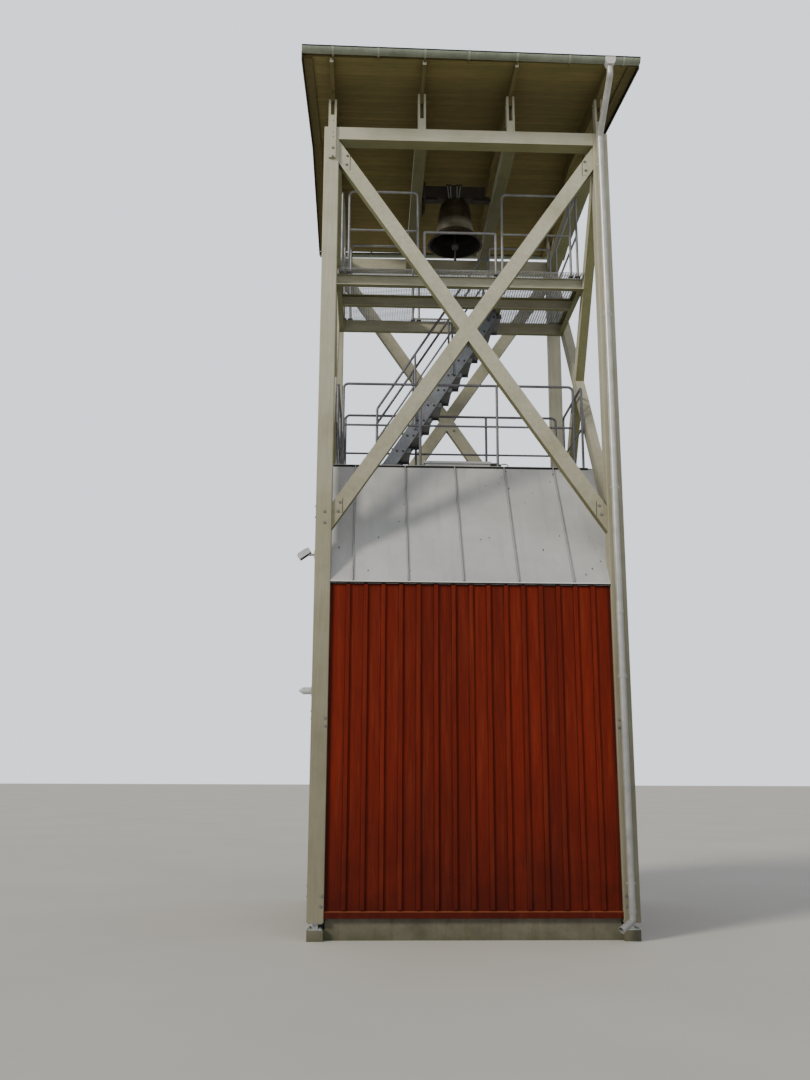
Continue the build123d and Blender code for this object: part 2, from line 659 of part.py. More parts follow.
RAIL_H = 1099.0        # deck railing
RAIL_MID = 548.0
RAIL_X = BRACE_IN - 42
BEND = 60.0
TIGHT = 20.0
D_FOOT = Z_DECK + SEAT
D_TOP = Z_DECK + RAIL_H
D_MID = Z_DECK + RAIL_MID
for rail_y, rail_name in ((-RAIL_Y, "deck_railing_front"), (RAIL_Y, "deck_railing_back")):
    with BuildPart() as rail:
        railing((-RAIL_X + 71, rail_y), (RAIL_X - 111, rail_y), D_FOOT, D_TOP, [D_MID], [1 / 3, 2 / 3], BEND)
    save(rail.part, rail_name)
with BuildPart() as deck_rail_sides:
    for sx in (-1, 1):
        railing((sx * RAIL_X, 6 - RAIL_Y), (sx * RAIL_X, RAIL_Y - 6), D_FOOT, D_TOP, [D_MID], [], BEND)
save(deck_rail_sides.part, "deck_railing_sides")

TOP_RAIL_H = 1158.0    # platform railing, with a lower middle panel
LOW_RAIL_H = 590.0
PANEL_X = RAIL_X - 110
GATE_X = 552.0
LOW_X = 467.0
P_FOOT = Z_WALK + SEAT
P_TOP = Z_WALK + TOP_RAIL_H
P_LOW = Z_WALK + LOW_RAIL_H
RAIL_F = FRAME_F + FLANGE / 2
RAIL_B = FRAME_B - FLANGE / 2
for rail_y, rail_name in ((RAIL_F, "platform_railing_front"), (RAIL_B, "platform_railing_back")):
    with BuildPart() as rail:
        railing((-PANEL_X, rail_y), (-GATE_X, rail_y), P_FOOT, P_TOP, [P_LOW + 15], [], BEND)
        railing((-LOW_X, rail_y), (LOW_X, rail_y), P_FOOT, P_LOW, [], [], TIGHT)
        railing((GATE_X, rail_y), (PANEL_X, rail_y), P_FOOT, P_TOP, [P_LOW - 8], [], BEND)
    save(rail.part, rail_name)
with BuildPart() as platform_rail_sides:
    for sx in (-1, 1):
        side_x = sx * (RAIL_X - 20)
        railing((side_x, RAIL_F), (side_x, RAIL_B), P_FOOT, P_TOP, [P_LOW], [], BEND)
save(platform_rail_sides.part, "platform_railing_sides")

# Bearings on the bell beams.
PIN_R = 20.0
RUNNING = 0.1          # radial clearance of a pin in its hole
BEARING_W = 90.0
with BuildPart() as bearings:
    for side in (-1, 1):
        cx = side * BELL_BEAM_X
        box(cx - BEARING_W / 2, cx + BEARING_W / 2, -95, 95, Z_BEAM_TOP + SEAT, Z_BEAM_TOP + 18)
        box(cx - BEARING_W / 2, cx + BEARING_W / 2, -48, 48, Z_BEAM_TOP + 18, PIVOT)
        across((cx, 0, PIVOT), BEARING_W, 48)
        across((cx, 0, PIVOT), 2 * BEARING_W, PIN_R + RUNNING, Mode.SUBTRACT)
save(bearings.part, "bell_bearings")

# Headstock: a steel beam on two pins, with leaning straps that hold the bell.
HEAD_X = 420.0
HEAD_Y = 80.0
HEAD_H = 172.0
HEAD_Z0 = PIVOT - 15
HEAD_Z1 = HEAD_Z0 + HEAD_H
STRAP_R = 8.0
STRAPS = [(-110, -86), (-66, -58), (31, 26), (79, 50)]   # x at the top and at the foot
with BuildPart() as headstock:
    box(-HEAD_X, HEAD_X, -HEAD_Y, HEAD_Y, HEAD_Z0, HEAD_Z1)
    pin_end = BELL_BEAM_X + BEARING_W / 2 + 15
    for side in (-1, 1):
        rod((side * (HEAD_X - 60), 0, PIVOT), (side * pin_end, 0, PIVOT), PIN_R)
    box(-HEAD_X, -HEAD_X + 175, -50, 50, HEAD_Z0 - 20, HEAD_Z0)
    box(HEAD_X - 175, HEAD_X + 64, -50, 50, HEAD_Z0 - 20, HEAD_Z0 + 40)
    for side in (-1, 1):
        yo = side * (HEAD_Y + STRAP_R)
        for xt, xf in STRAPS:
            rod((xt, yo, HEAD_Z1 + 33), (xf, yo, BELL_TOP + 26), STRAP_R)
    box(-126, 95, -HEAD_Y - 2 * STRAP_R, HEAD_Y + 2 * STRAP_R, HEAD_Z1, HEAD_Z1 + 12)
save(headstock.part, "headstock")

# Ringing wheel beside the left end of the headstock, on its pin.
WHEEL_R = 230.0
WHEEL_T = 25.0
WHEEL_X = -HEAD_X - SEAT - WHEEL_T / 2
with BuildPart() as wheel:
    across((WHEEL_X, 0, PIVOT), WHEEL_T, WHEEL_R)
    across((WHEEL_X, 0, PIVOT), WHEEL_T + 2, WHEEL_R - 30, Mode.SUBTRACT)
    across((WHEEL_X, 0, PIVOT), WHEEL_T, 55)
    for turn in (0, 45, 90, 135):
        with Locations(Location((WHEEL_X, 0, PIVOT), (turn, 0, 0))):
            Box(WHEEL_T - 9, 2 * WHEEL_R - 12, 26)
    across((WHEEL_X, 0, PIVOT), WHEEL_T + 2, PIN_R + SEAT, Mode.SUBTRACT)
save(wheel.part, "ringing_wheel")

# Bell: outside and inside profiles as shares of the mouth radius and of the height.
OUTSIDE = [(1.0, 0.0), (0.942, 0.06), (0.803, 0.169), (0.684, 0.323), (0.606, 0.6), (0.572, 0.785),
           (0.47, 0.948), (0.3, 0.995)]
INSIDE = [(0.925, 0.0), (0.85, 0.07), (0.738, 0.18), (0.626, 0.33), (0.553, 0.6), (0.52, 0.775),
          (0.42, 0.912), (0.26, 0.955)]
CROWN_R = 65.0
EYE_HALF = 20.0
EYE_PIN_R = 9.0
with BuildPart() as bell:
    outer = [(a * BELL_R, BELL_LIP + b * BELL_H) for a, b in OUTSIDE]
    inner = [(a * BELL_R, BELL_LIP + b * BELL_H) for a, b in INSIDE]
    with BuildSketch(Plane.XZ):
        with BuildLine():
            Spline(*outer)
            Line(outer[-1], (0, BELL_TOP))
            Line((0, BELL_TOP), (0, inner[-1][1] + 2))
            Line((0, inner[-1][1] + 2), inner[-1])
            Spline(*inner[::-1])
            Line(inner[0], outer[0])
        make_face()
    revolve(axis=Axis.Z)
    for share, up, bead in ((0.826, 0.146, 7), (0.862, 0.115, 5), (0.592, 0.69, 5), (0.583, 0.735, 5)):
        with BuildSketch(Plane.XZ):
            with Locations((share * BELL_R, BELL_LIP + up * BELL_H)):
                Circle(bead)
        revolve(axis=Axis.Z)
    with Locations((0, 0, (BELL_TOP - 12 + HEAD_Z0 - SEAT) / 2)):
        Cylinder(CROWN_R, HEAD_Z0 - SEAT - BELL_TOP + 12)
    box(-98, 62, -HEAD_Y - 2 * STRAP_R, HEAD_Y + 2 * STRAP_R, BELL_TOP + 6, BELL_TOP + 24 - SEAT)
    for side in (-1, 1):
        cx = side * (EYE_HALF + 7)
        box(cx - 6, cx + 6, -22, 22, CLAPPER_PIVOT - 22, inner[-1][1] + 8)
    across((0, 0, CLAPPER_PIVOT), 2 * EYE_HALF + 20, EYE_PIN_R)
save(bell.part, "bell")

# Clapper: an eye on the bell's pin, a shank, a ball and a short tail.
CLAPPER_L = 720.0
BALL_R = 52.0
with BuildPart() as clapper:
    rod((0, 0, CLAPPER_PIVOT), (0, 0, CLAPPER_PIVOT - CLAPPER_L), 12)
    with Locations((0, 0, CLAPPER_PIVOT - 0.7 * CLAPPER_L)):
        Sphere(BALL_R)
    with Locations((0, 0, CLAPPER_PIVOT - CLAPPER_L + 14)):
        Sphere(20)
    across((0, 0, CLAPPER_PIVOT), 2 * EYE_HALF, 22)
    across((0, 0, CLAPPER_PIVOT), 4 * EYE_HALF, EYE_PIN_R + RUNNING, Mode.SUBTRACT)
save(clapper.part, "clapper")

# Two lamps on the left face of the front left post.
LAMP_Y = -MID_POST
LAMP_FACE = -HALF - SEAT
FLOOD_UP = 310.0
LAMP_DROP = 1215.0
FLOOD_Z = Z_EAVE_WALL + FLOOD_UP
LAMP_Z = Z_EAVE_WALL - LAMP_DROP
with BuildPart() as floodlight:
    box(LAMP_FACE - 10, LAMP_FACE, LAMP_Y - 30, LAMP_Y + 30, FLOOD_Z - 45, FLOOD_Z + 35)
    box(LAMP_FACE - 75, LAMP_FACE - 5, LAMP_Y - 12, LAMP_Y + 12, FLOOD_Z - 20, FLOOD_Z + 4)
    with Locations(Location((LAMP_FACE - 120, LAMP_Y, FLOOD_Z), (0, -35, 0))):
        Box(150, 120, 62)
        with Locations((-8, 0, 34)):
            Box(110, 90, 12)
save(floodlight.part, "floodlight")
with BuildPart() as wall_lamp:
    box(LAMP_FACE - 8, LAMP_FACE, LAMP_Y - 30, LAMP_Y + 30, LAMP_Z - 50, LAMP_Z + 50)
    across((LAMP_FACE - 50, LAMP_Y, LAMP_Z), 90, 38)
    with Locations(Location((LAMP_FACE - 118, LAMP_Y, LAMP_Z), (0, -90, 0))):
        Cone(38, 8, 48)
save(wall_lamp.part, "wall_lamp")
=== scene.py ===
import math
import random

import bmesh
import bpy
from mathutils import Matrix, Vector


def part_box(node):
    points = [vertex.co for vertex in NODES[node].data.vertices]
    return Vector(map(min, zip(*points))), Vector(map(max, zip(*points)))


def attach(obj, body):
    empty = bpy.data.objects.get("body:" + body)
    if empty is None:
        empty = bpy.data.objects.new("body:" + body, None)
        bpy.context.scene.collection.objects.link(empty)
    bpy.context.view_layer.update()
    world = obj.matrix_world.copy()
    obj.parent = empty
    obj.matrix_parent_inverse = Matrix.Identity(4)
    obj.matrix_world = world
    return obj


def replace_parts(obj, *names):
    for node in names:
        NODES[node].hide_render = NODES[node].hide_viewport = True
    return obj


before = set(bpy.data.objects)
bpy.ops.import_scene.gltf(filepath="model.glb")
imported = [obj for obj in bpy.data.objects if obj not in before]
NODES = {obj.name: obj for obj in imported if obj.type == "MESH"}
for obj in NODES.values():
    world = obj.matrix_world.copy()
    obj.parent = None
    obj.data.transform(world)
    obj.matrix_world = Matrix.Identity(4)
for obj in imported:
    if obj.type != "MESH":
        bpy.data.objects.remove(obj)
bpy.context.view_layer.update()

# The looks of a free-standing timber bell tower, in metres, front towards -Y
scene = bpy.context.scene
rng = random.Random(11)

# Places taken from the frame
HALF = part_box("post_front_right")[1][0]
POST_MIDDLE = HALF - 0.090
WALL_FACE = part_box("wall_right")[1][0]
DRIP_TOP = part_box("drip_boards")[1][2]
DECK_EDGE, DECK_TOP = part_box("deck")[1][1:]
BRACE_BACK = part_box("braces_back")[0][1]
BRACE_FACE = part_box("braces_back")[1][1]
TIE_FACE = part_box("tie_planks")[1][1]
RAFTER_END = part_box("rafters")[1][1]
ROOF_X, ROOF_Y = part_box("roof_boards_back")[1][:2]
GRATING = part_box("platform_grating")

# Sizes that several pieces or materials share
BOTH = (-1, 1)
CORNERS = [(first, second) for first in BOTH for second in BOTH]
BOARD_PITCH = 0.1955
BATTEN_W = 0.045
SKIRT_OUT, SKIRT_FOOT = 1.745, 3.790
SKIRT_IN, SKIRT_HEAD = 0.665, 5.425
SKIRT_T = 0.045
SEAM_PITCH = 0.6195
SEAM_SHIFT = 0.084
RAFTER_X = (-1.655, -0.5517, 0.5517, 1.655)
ROOF_SLOPE = 0.162
RIDGE = 10.350
GUTTER_Y = 2.437
GUTTER_R = 0.055
PIPE_X = 1.640
HEADSTOCK_SIDE = 0.080
STRAP_BARE_TO = 9.700
OFF_FACE = 0.0002


class Graph:
    """short names for the nodes of one material"""

    def __init__(self, name, **fixed):
        self.mat = bpy.data.materials.new(name)
        self.mat.use_nodes = True
        self.nt = self.mat.node_tree
        self.bsdf = self.nt.nodes["Principled BSDF"]
        for key, value in fixed.items():
            self.bsdf.inputs[key.replace("_", " ")].default_value = value
        self.coord = self.nt.nodes.new("ShaderNodeTexCoord").outputs["Object"]

    def link(self, value, socket):
        if isinstance(value, bpy.types.NodeSocket):
            self.nt.links.new(value, socket)
        else:
            socket.default_value = value

    def place(self, scale):
        n = self.nt.nodes.new("ShaderNodeMapping")
        n.inputs["Scale"].default_value = scale
        self.nt.links.new(self.coord, n.inputs["Vector"])
        return n.outputs["Vector"]

    def noise(self, scale, where=None, detail=3.0, rough=0.55, distort=0.0):
        n = self.nt.nodes.new("ShaderNodeTexNoise")
        n.inputs["Scale"].default_value = scale
        n.inputs["Detail"].default_value = detail
        n.inputs["Roughness"].default_value = rough
        n.inputs["Distortion"].default_value = distort
        self.nt.links.new(where or self.coord, n.inputs["Vector"])
        return n.outputs["Fac"]

    def cells(self, scale, where=None, out="Distance"):
        n = self.nt.nodes.new("ShaderNodeTexVoronoi")
        n.inputs["Scale"].default_value = scale
        self.nt.links.new(where or self.coord, n.inputs["Vector"])
        return n.outputs[out]

    def ramp(self, fac, *stops):
        """colours or greys at places from 0 to 1"""
        n = self.nt.nodes.new("ShaderNodeValToRGB")
        e = n.color_ramp.elements
        while len(e) < len(stops):
            e.new(0.5)
        for k, (pos, value) in enumerate(stops):
            color = value if isinstance(value, tuple) else (value, value, value)
            e[k].position = pos
            e[k].color = (*color, 1)
        self.link(fac, n.inputs["Fac"])
        return n.outputs["Color"]

    def mix(self, fac, a, b, mode="MIX"):
        n = self.nt.nodes.new("ShaderNodeMix")
        n.data_type = "RGBA"
        n.blend_type = mode
        self.link(fac, n.inputs[0])
        self.link((*a, 1) if isinstance(a, tuple) else a, n.inputs[6])
        self.link((*b, 1) if isinstance(b, tuple) else b, n.inputs[7])
        return n.outputs[2]

    def math(self, op, a, b=0.0, c=0.0):
        n = self.nt.nodes.new("ShaderNodeMath")
        n.operation = op
        self.link(a, n.inputs[0])
        self.link(b, n.inputs[1])
        self.link(c, n.inputs[2])
        return n.outputs[0]

    def split(self, vector, name):
        n = self.nt.nodes.new("ShaderNodeSeparateXYZ")
        self.nt.links.new(vector, n.inputs[0])
        return n.outputs[name]

    def axis(self, name):
        return self.split(self.coord, name)

    def normal(self, name):
        return self.split(self.nt.nodes.new("ShaderNodeTexCoord").outputs["Normal"], name)

    def part(self, name, low, high):
        """0 at low and 1 at high along an axis"""
        return self.math("MULTIPLY_ADD", self.axis(name), 1 / (high - low), -low / (high - low))

    def beyond(self, name, distance):
        """1 further than a distance from the middle plane across an axis"""
        return self.math("GREATER_THAN", self.math("ABSOLUTE", self.axis(name)), distance)

    def facing(self, name, past):
        """1 on faces that look along an axis: below past where past is negative, else above it"""
        return self.math("LESS_THAN" if past < 0 else "GREATER_THAN", self.normal(name), past)

    def tone(self):
        n = self.nt.nodes.new("ShaderNodeAttribute")
        n.attribute_name = "tone"
        return n.outputs["Fac"]

    def bump(self, height, strength, distance, over=None):
        n = self.nt.nodes.new("ShaderNodeBump")
        n.inputs["Strength"].default_value = strength
        n.inputs["Distance"].default_value = distance
        self.nt.links.new(height, n.inputs["Height"])
        if over:
            self.nt.links.new(over, n.inputs["Normal"])
        return n.outputs["Normal"]

    def done(self, color, rough=None, normal=None):
        for value, key in ((color, "Base Color"), (rough, "Roughness"), (normal, "Normal")):
            if value is not None:
                self.nt.links.new(value, self.bsdf.inputs[key])
        return self.mat


def scaled(color, light):
    return tuple(light * c for c in color)


def glulam(name, stretch, light=1.0):
    """satin grey-beige paint on glued timber, with painted shade low down and under faces and painted light
    near the top; stretch is large across the grain
    """
    g = Graph(name, Specular_IOR_Level=0.3)
    grain = g.noise(1.0, g.place(stretch), 5.0, 0.6)
    cloud = g.noise(1.7, None, 4.0, 0.6)
    fine = g.noise(55.0, None, 3.0, 0.6)
    base = g.ramp(grain, (0.3, scaled((0.415, 0.394, 0.300), light)),
                  (0.7, scaled((0.505, 0.482, 0.372), light)))
    # darker towards the ground and lighter near the top: painted shade low down and painted light high up
    painted_light_by_height = g.ramp(g.part("Z", 0.0, 10.0), (0.0, (0.46, 0.46, 0.42)), (0.2, (0.50, 0.50, 0.46)),
                       (0.45, (0.72, 0.72, 0.68)), (0.7, (0.97, 0.99, 0.99)), (0.95, (1.12, 1.15, 1.16)))
    col = g.mix(1.0, base, painted_light_by_height, "MULTIPLY")
    # faces that look down are darkened towards olive: painted shade
    col = g.mix(g.facing("Z", -0.5), col, g.mix(1.0, col, (0.44, 0.45, 0.29), "MULTIPLY"))
    dirt = g.ramp(cloud, (0.42, (1, 1, 1)), (0.72, (0.84, 0.83, 0.77)))
    col = g.mix(1.0, col, dirt, "MULTIPLY")
    specks = g.ramp(g.cells(38.0), (0.015, 0.0), (0.05, 1.0))
    col = g.mix(g.math("MULTIPLY", g.math("SUBTRACT", 1.0, specks), 0.35), col, (0.16, 0.14, 0.10))
    rough = g.ramp(cloud, (0.3, 0.55), (0.8, 0.75))
    relief = g.bump(grain, 0.25, 0.0012, g.bump(fine, 0.12, 0.0006))
    return g.done(col, rough, relief)


def red_paint(name, stretch, across=None, head=False, top=False):
    """matt red paint on sawn boards; across is the axis the boards stand along, head paints a dark shadow
    under the eave, top paints a highlight in orange brown on the faces that look up"""
    g = Graph(name, Specular_IOR_Level=0.16)
    grain = g.noise(1.0, g.place(stretch), 6.0, 0.65)
    cloud = g.noise(2.3, None, 4.0, 0.6)
    streak = g.noise(1.0, g.place((14, 14, 0.8)), 4.0, 0.6)
    base = g.ramp(grain, (0.25, (0.086, 0.0062, 0.0015)), (0.75, (0.176, 0.0152, 0.0038)))
    if across:
        plank = g.nt.nodes.new("ShaderNodeTexWhiteNoise")
        plank.noise_dimensions = "1D"
        g.link(g.math("FLOOR", g.math("MULTIPLY", g.axis(across), 1 / BOARD_PITCH)), plank.inputs["W"])
        tone = plank.outputs["Value"]
    else:
        tone = g.tone()
    per_board = g.ramp(tone, (0.0, (0.80, 0.78, 0.76)), (1.0, (1.14, 1.12, 1.10)))
    col = g.mix(1.0, base, per_board, "MULTIPLY")
    # dark lines on the boards beside each batten: painted shade in the corners
    if across:
        turn = g.math("FRACT", g.math("MULTIPLY_ADD", g.axis(across), 1 / BOARD_PITCH, 0.5))
        off = g.math("ABSOLUTE", g.math("SUBTRACT", turn, 0.5))
        corner = g.math("LESS_THAN", off, (BATTEN_W / 2 + 0.007) / BOARD_PITCH)
        col = g.mix(g.math("MULTIPLY", corner, 0.6), col, (0.020, 0.003, 0.001))
    col = g.mix(g.ramp(streak, (0.5, 0.0), (0.75, 0.26)), col, (0.30, 0.058, 0.021))
    # darker towards the ground in cloudy patches: painted shade
    ground_shade = g.ramp(g.part("Z", 0.0, 1.818), (0.12, 1.0), (1.0, 0.0))
    ground_shade = g.math("MULTIPLY", ground_shade, g.ramp(cloud, (0.35, 0.45), (0.7, 0.95)))
    col = g.mix(ground_shade, col, (0.040, 0.0036, 0.0012))
    if head:
        # a dark band along the wall's head: painted shadow under the eave
        eave_shadow = g.ramp(g.part("Z", 3.7, 3.8), (0.46, 0.0), (0.58, 0.9))
        col = g.mix(eave_shadow, col, (0.008, 0.003, 0.002))
    if top:
        # faces that look up get a lighter orange brown: painted highlight
        col = g.mix(g.facing("Z", 0.5), col, (0.20, 0.060, 0.024))
    rough = g.ramp(grain, (0.2, 0.68), (0.8, 0.88))
    return g.done(col, rough, g.bump(grain, 0.45, 0.0018))


def seam_sheet(name, shade_at_seams=False):
    """pale grey coated sheet with faint dirt runs and small dark scratches, and painted shade beside the
    seams
    """
    g = Graph(name, Metallic=0.15, Specular_IOR_Level=0.4)
    cloud = g.noise(1.3, None, 5.0, 0.6)
    runs = g.noise(1.0, g.place((9, 1.2, 0.9)), 4.0, 0.6)
    base = g.ramp(cloud, (0.3, (0.42, 0.425, 0.43)), (0.7, (0.55, 0.552, 0.545)))
    col = g.mix(g.ramp(runs, (0.52, 0.0), (0.8, 0.45)), base, (0.34, 0.345, 0.34))
    spots = g.ramp(g.cells(9.0, g.place((1.6, 1, 0.45))), (0.085, 1.0), (0.125, 0.0))
    some = g.ramp(g.noise(2.2), (0.50, 0.0), (0.56, 1.0))
    col = g.mix(g.math("MULTIPLY", spots, some), col, (0.045, 0.045, 0.04))
    if shade_at_seams:
        bands = SEAM_PITCH / 0.025
        turn = g.math("MULTIPLY_ADD", g.axis("X"), 1 / SEAM_PITCH, SEAM_SHIFT / SEAM_PITCH + 0.5)
        off = g.math("MULTIPLY_ADD", g.math("FRACT", turn), bands, 0.5 - bands / 2)
        # dark bands beside each standing seam: painted shade on the seams' flanks
        seam_shade = g.ramp(off, (0.12, 0.0), (0.20, 0.55), (0.655, 0.0), (0.68, 1.0), (0.90, 0.9), (1.0, 0.0))
        patchy = g.ramp(g.noise(5.0), (0.3, 0.55), (0.7, 1.0))
        col = g.mix(g.math("MULTIPLY", seam_shade, patchy), col, (0.075, 0.078, 0.070))
    rough = g.ramp(cloud, (0.3, 0.42), (0.7, 0.6))
    return g.done(col, rough, g.bump(g.noise(2.5, g.place((1, 0.5, 0.5))), 0.22, 0.006))


def galvanised(name, light=1.0, metal=0.5, tint=(1.0, 1.02, 1.03)):
    """hot-dip galvanised steel: dull grey with faint spangle"""
    g = Graph(name, Metallic=metal)
    spangle = g.cells(70.0, None, "Color")
    cloud = g.noise(5.0, None, 4.0, 0.6)
    base = g.ramp(cloud, (0.3, scaled(tint, 0.31 * light)), (0.7, scaled(tint, 0.46 * light)))
    col = g.mix(0.18, base, g.mix(1.0, base, spangle, "OVERLAY"))
    rough = g.ramp(g.noise(30.0), (0.3, 0.42), (0.7, 0.6))
    return g.done(col, rough, g.bump(g.noise(120.0), 0.12, 0.0005))


def coated(name, low, high, rough_low=0.35, rough_high=0.5, metal=0.0, streaks=None, shade=None):
    """coated sheet or painted iron between two close colours; shade changes the colour in places"""
    g = Graph(name, Metallic=metal)
    cloud = g.noise(6.0, None, 4.0, 0.6)
    col = g.ramp(cloud, (0.3, low), (0.7, high))
    if streaks:
        runs = g.noise(1.0, g.place((30, 30, 1.5)), 4.0, 0.6)
        col = g.mix(g.ramp(runs, (0.52, 0.0), (0.75, 0.6)), col, streaks)
    if shade:
        col = shade(g, col)
    rough = g.ramp(cloud, (0.3, rough_low), (0.7, rough_high))
    return g.done(col, rough, g.bump(g.noise(90.0), 0.1, 0.0005))


def gutter_shade(g, col):
    """pale outlets over the downpipes, and hangers behind the gutters in the colour of the boards"""
    off = g.math("SUBTRACT", g.math("ABSOLUTE", g.axis("X")), PIPE_X)
    near = g.math("LESS_THAN", g.math("ABSOLUTE", off), 0.0615)
    here = g.math("LESS_THAN", g.math("MULTIPLY", g.axis("X"), g.axis("Y")), 0.0)
    col = g.mix(g.math("MULTIPLY", near, here), col, (0.62, 0.62, 0.60))
    behind = g.math("LESS_THAN", g.math("ABSOLUTE", g.axis("Y")), GUTTER_Y - GUTTER_R + 0.0065)
    return g.mix(behind, col, (0.115, 0.097, 0.042))


def covering_shade(g, col):
    """stained like the boards where the sheet's edge shows behind the gutters"""
    eave = g.math("SUBTRACT", g.beyond("Y", ROOF_Y - 0.005), g.facing("Z", 0.5))
    return g.mix(g.math("MAXIMUM", eave, g.facing("Z", -0.5)), col, (0.085, 0.070, 0.030))


def pipe_shade(g, col):
    """greyer towards the ground: painted shade"""
    low = g.ramp(g.part("Z", 0.0, 10.0), (0.0, (0.50, 0.51, 0.53)), (0.3, (0.62, 0.63, 0.64)),
                 (0.6, (0.95, 0.95, 0.94)))
    return g.mix(1.0, col, low, "MULTIPLY")


def strap_shade(g, col):
    """bare steel on the straps beside the headstock"""
    beside = g.beyond("Y", HEADSTOCK_SIDE + 0.0015)
    below = g.math("LESS_THAN", g.axis("Z"), STRAP_BARE_TO)
    return g.mix(g.math("MULTIPLY", beside, below), col, (0.27, 0.27, 0.265))


def soffit(name, stretch, light=1.0):
    """olive-brown stained boards, close tones board by board, with knots"""
    g = Graph(name, Specular_IOR_Level=0.2)
    grain = g.noise(1.0, g.place(stretch), 6.0, 0.7, 0.4)
    base = g.ramp(grain, (0.25, scaled((0.142, 0.115, 0.042), light)),
                  (0.75, scaled((0.262, 0.218, 0.090), light)))
    per_board = g.ramp(g.tone(), (0.0, (0.90, 0.91, 0.91)), (1.0, (1.10, 1.08, 1.05)))
    col = g.mix(1.0, base, per_board, "MULTIPLY")
    green = g.noise(1.1, None, 4.0, 0.6)
    col = g.mix(g.ramp(green, (0.5, 0.0), (0.72, 0.5)), col, scaled((0.125, 0.132, 0.042), light))
    knots = g.ramp(g.cells(5.5, g.place((1, 2.2, 1))), (0.02, 1.0), (0.06, 0.0))
    col = g.mix(g.math("MULTIPLY", knots, 0.8), col, (0.05, 0.035, 0.014))
    rough = g.ramp(grain, (0.2, 0.72), (0.8, 0.9))
    return g.done(col, rough, g.bump(grain, 0.35, 0.0012))


def concrete(name):
    """cast concrete with pores and brown runs, green towards the ground"""
    g = Graph(name, Specular_IOR_Level=0.25)
    cloud = g.noise(3.0, None, 6.0, 0.65)
    pores = g.ramp(g.cells(60.0), (0.02, 0.0), (0.10, 1.0))
    base = g.ramp(cloud, (0.3, (0.092, 0.083, 0.062)), (0.7, (0.200, 0.184, 0.143)))
    low = g.math("SUBTRACT", 0.22, g.axis("Z"))
    low = g.math("MULTIPLY", g.math("MULTIPLY", low, 4.5), g.noise(4.0))
    col = g.mix(g.math("MINIMUM", g.math("MAXIMUM", low, 0.0), 0.75), base, (0.050, 0.060, 0.022))
    runs = g.noise(1.0, g.place((16, 16, 1.2)), 4.0, 0.6)
    col = g.mix(g.ramp(runs, (0.55, 0.0), (0.75, 0.5)), col, (0.10, 0.065, 0.030))
    col = g.mix(g.math("MULTIPLY", g.math("SUBTRACT", 1.0, pores), 0.5), col, (0.06, 0.055, 0.045))
    rough = g.ramp(cloud, (0.3, 0.8), (0.7, 0.95))
    return g.done(col, rough, g.bump(g.noise(28.0, None, 6.0), 0.5, 0.003))


def bronze(name):
    """dark bronze with a painted band of sunlight and a green-grey bloom, near black inside"""
    g = Graph(name, Metallic=0.6)
    cloud = g.noise(5.0, None, 6.0, 0.65)
    runs = g.noise(1.0, g.place((22, 22, 2.5)), 5.0, 0.6)
    base = g.ramp(cloud, (0.3, (0.036, 0.028, 0.014)), (0.7, (0.090, 0.074, 0.044)))
    col = g.mix(g.ramp(runs, (0.5, 0.0), (0.72, 0.7)), base, (0.105, 0.102, 0.068))
    foot, head = (corner[2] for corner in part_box("bell"))
    # a pale band round the bell's waist: painted sunlight
    sunlit_band = g.ramp(g.part("Z", foot, head), (0.17, 0.0), (0.22, 0.85), (0.36, 0.7), (0.50, 0.0))
    painted_sunlight = g.math("MULTIPLY", sunlit_band, g.ramp(cloud, (0.3, 0.5), (0.6, 1.0)))
    col = g.mix(painted_sunlight, col, (0.50, 0.475, 0.36))
    outward = g.math("ADD", g.math("MULTIPLY", g.axis("X"), g.normal("X")),
                     g.math("MULTIPLY", g.axis("Y"), g.normal("Y")))
    inside = g.math("MULTIPLY", g.math("LESS_THAN", outward, 0.0), 0.94)
    col = g.mix(inside, col, (0.009, 0.007, 0.004))
    rough = g.ramp(cloud, (0.3, 0.40), (0.7, 0.65))
    return g.done(col, rough, g.bump(g.noise(60.0, None, 5.0), 0.25, 0.001))


# Paint on the timber frame
PAINT_UPRIGHT = glulam("paint_upright", (40, 40, 2.2))
PAINT_ALONG_X = glulam("paint_along_x", (2.2, 40, 40))
PAINT_ALONG_Y = glulam("paint_along_y", (40, 2.2, 40))
# a darker copy of the frame paint for the bell beams: painted shade under the roof
SHADED_PAINT_UNDER_ROOF = glulam("shaded_paint_under_roof", (40, 2.2, 40), 0.68)
PAINT_BRACES = glulam("paint_braces", (20, 20, 20))
RAFTER_END_PAINT = glulam("rafter_ends", (60, 60, 60), 1.6)

# Red boards
RED_SIDE_BATTENS = red_paint("red_battens", (60, 60, 3))
RED_FRONT_BATTENS = red_paint("red_battens_shaded_under_eave", (60, 60, 3), head=True)
RED_FRONT_BOARDS = red_paint("red_boards_front", (60, 60, 3), "X", head=True)
RED_SIDE_BOARDS = red_paint("red_boards_side", (60, 60, 3), "Y")
RED_DRIP_BOARDS = red_paint("red_boards_along", (4, 60, 60), top=True)

# Sheet and steel
PALE_SHEET = seam_sheet("pale_sheet")
SEAMED_SHEET = seam_sheet("pale_sheet_shaded_at_seams", True)
GALVANISED = galvanised("galvanised")
# darker than the plain galvanised steel: painted shade for the mesh seen from below
MESH_STEEL = galvanised("galvanised_mesh", 0.75, 0.35)
DECK_RAIL_STEEL = galvanised("galvanised_dark", 0.42, 0.45, (0.97, 0.97, 1.05))
HIGH_RAIL_STEEL = galvanised("galvanised_rail", 0.72, 0.45)
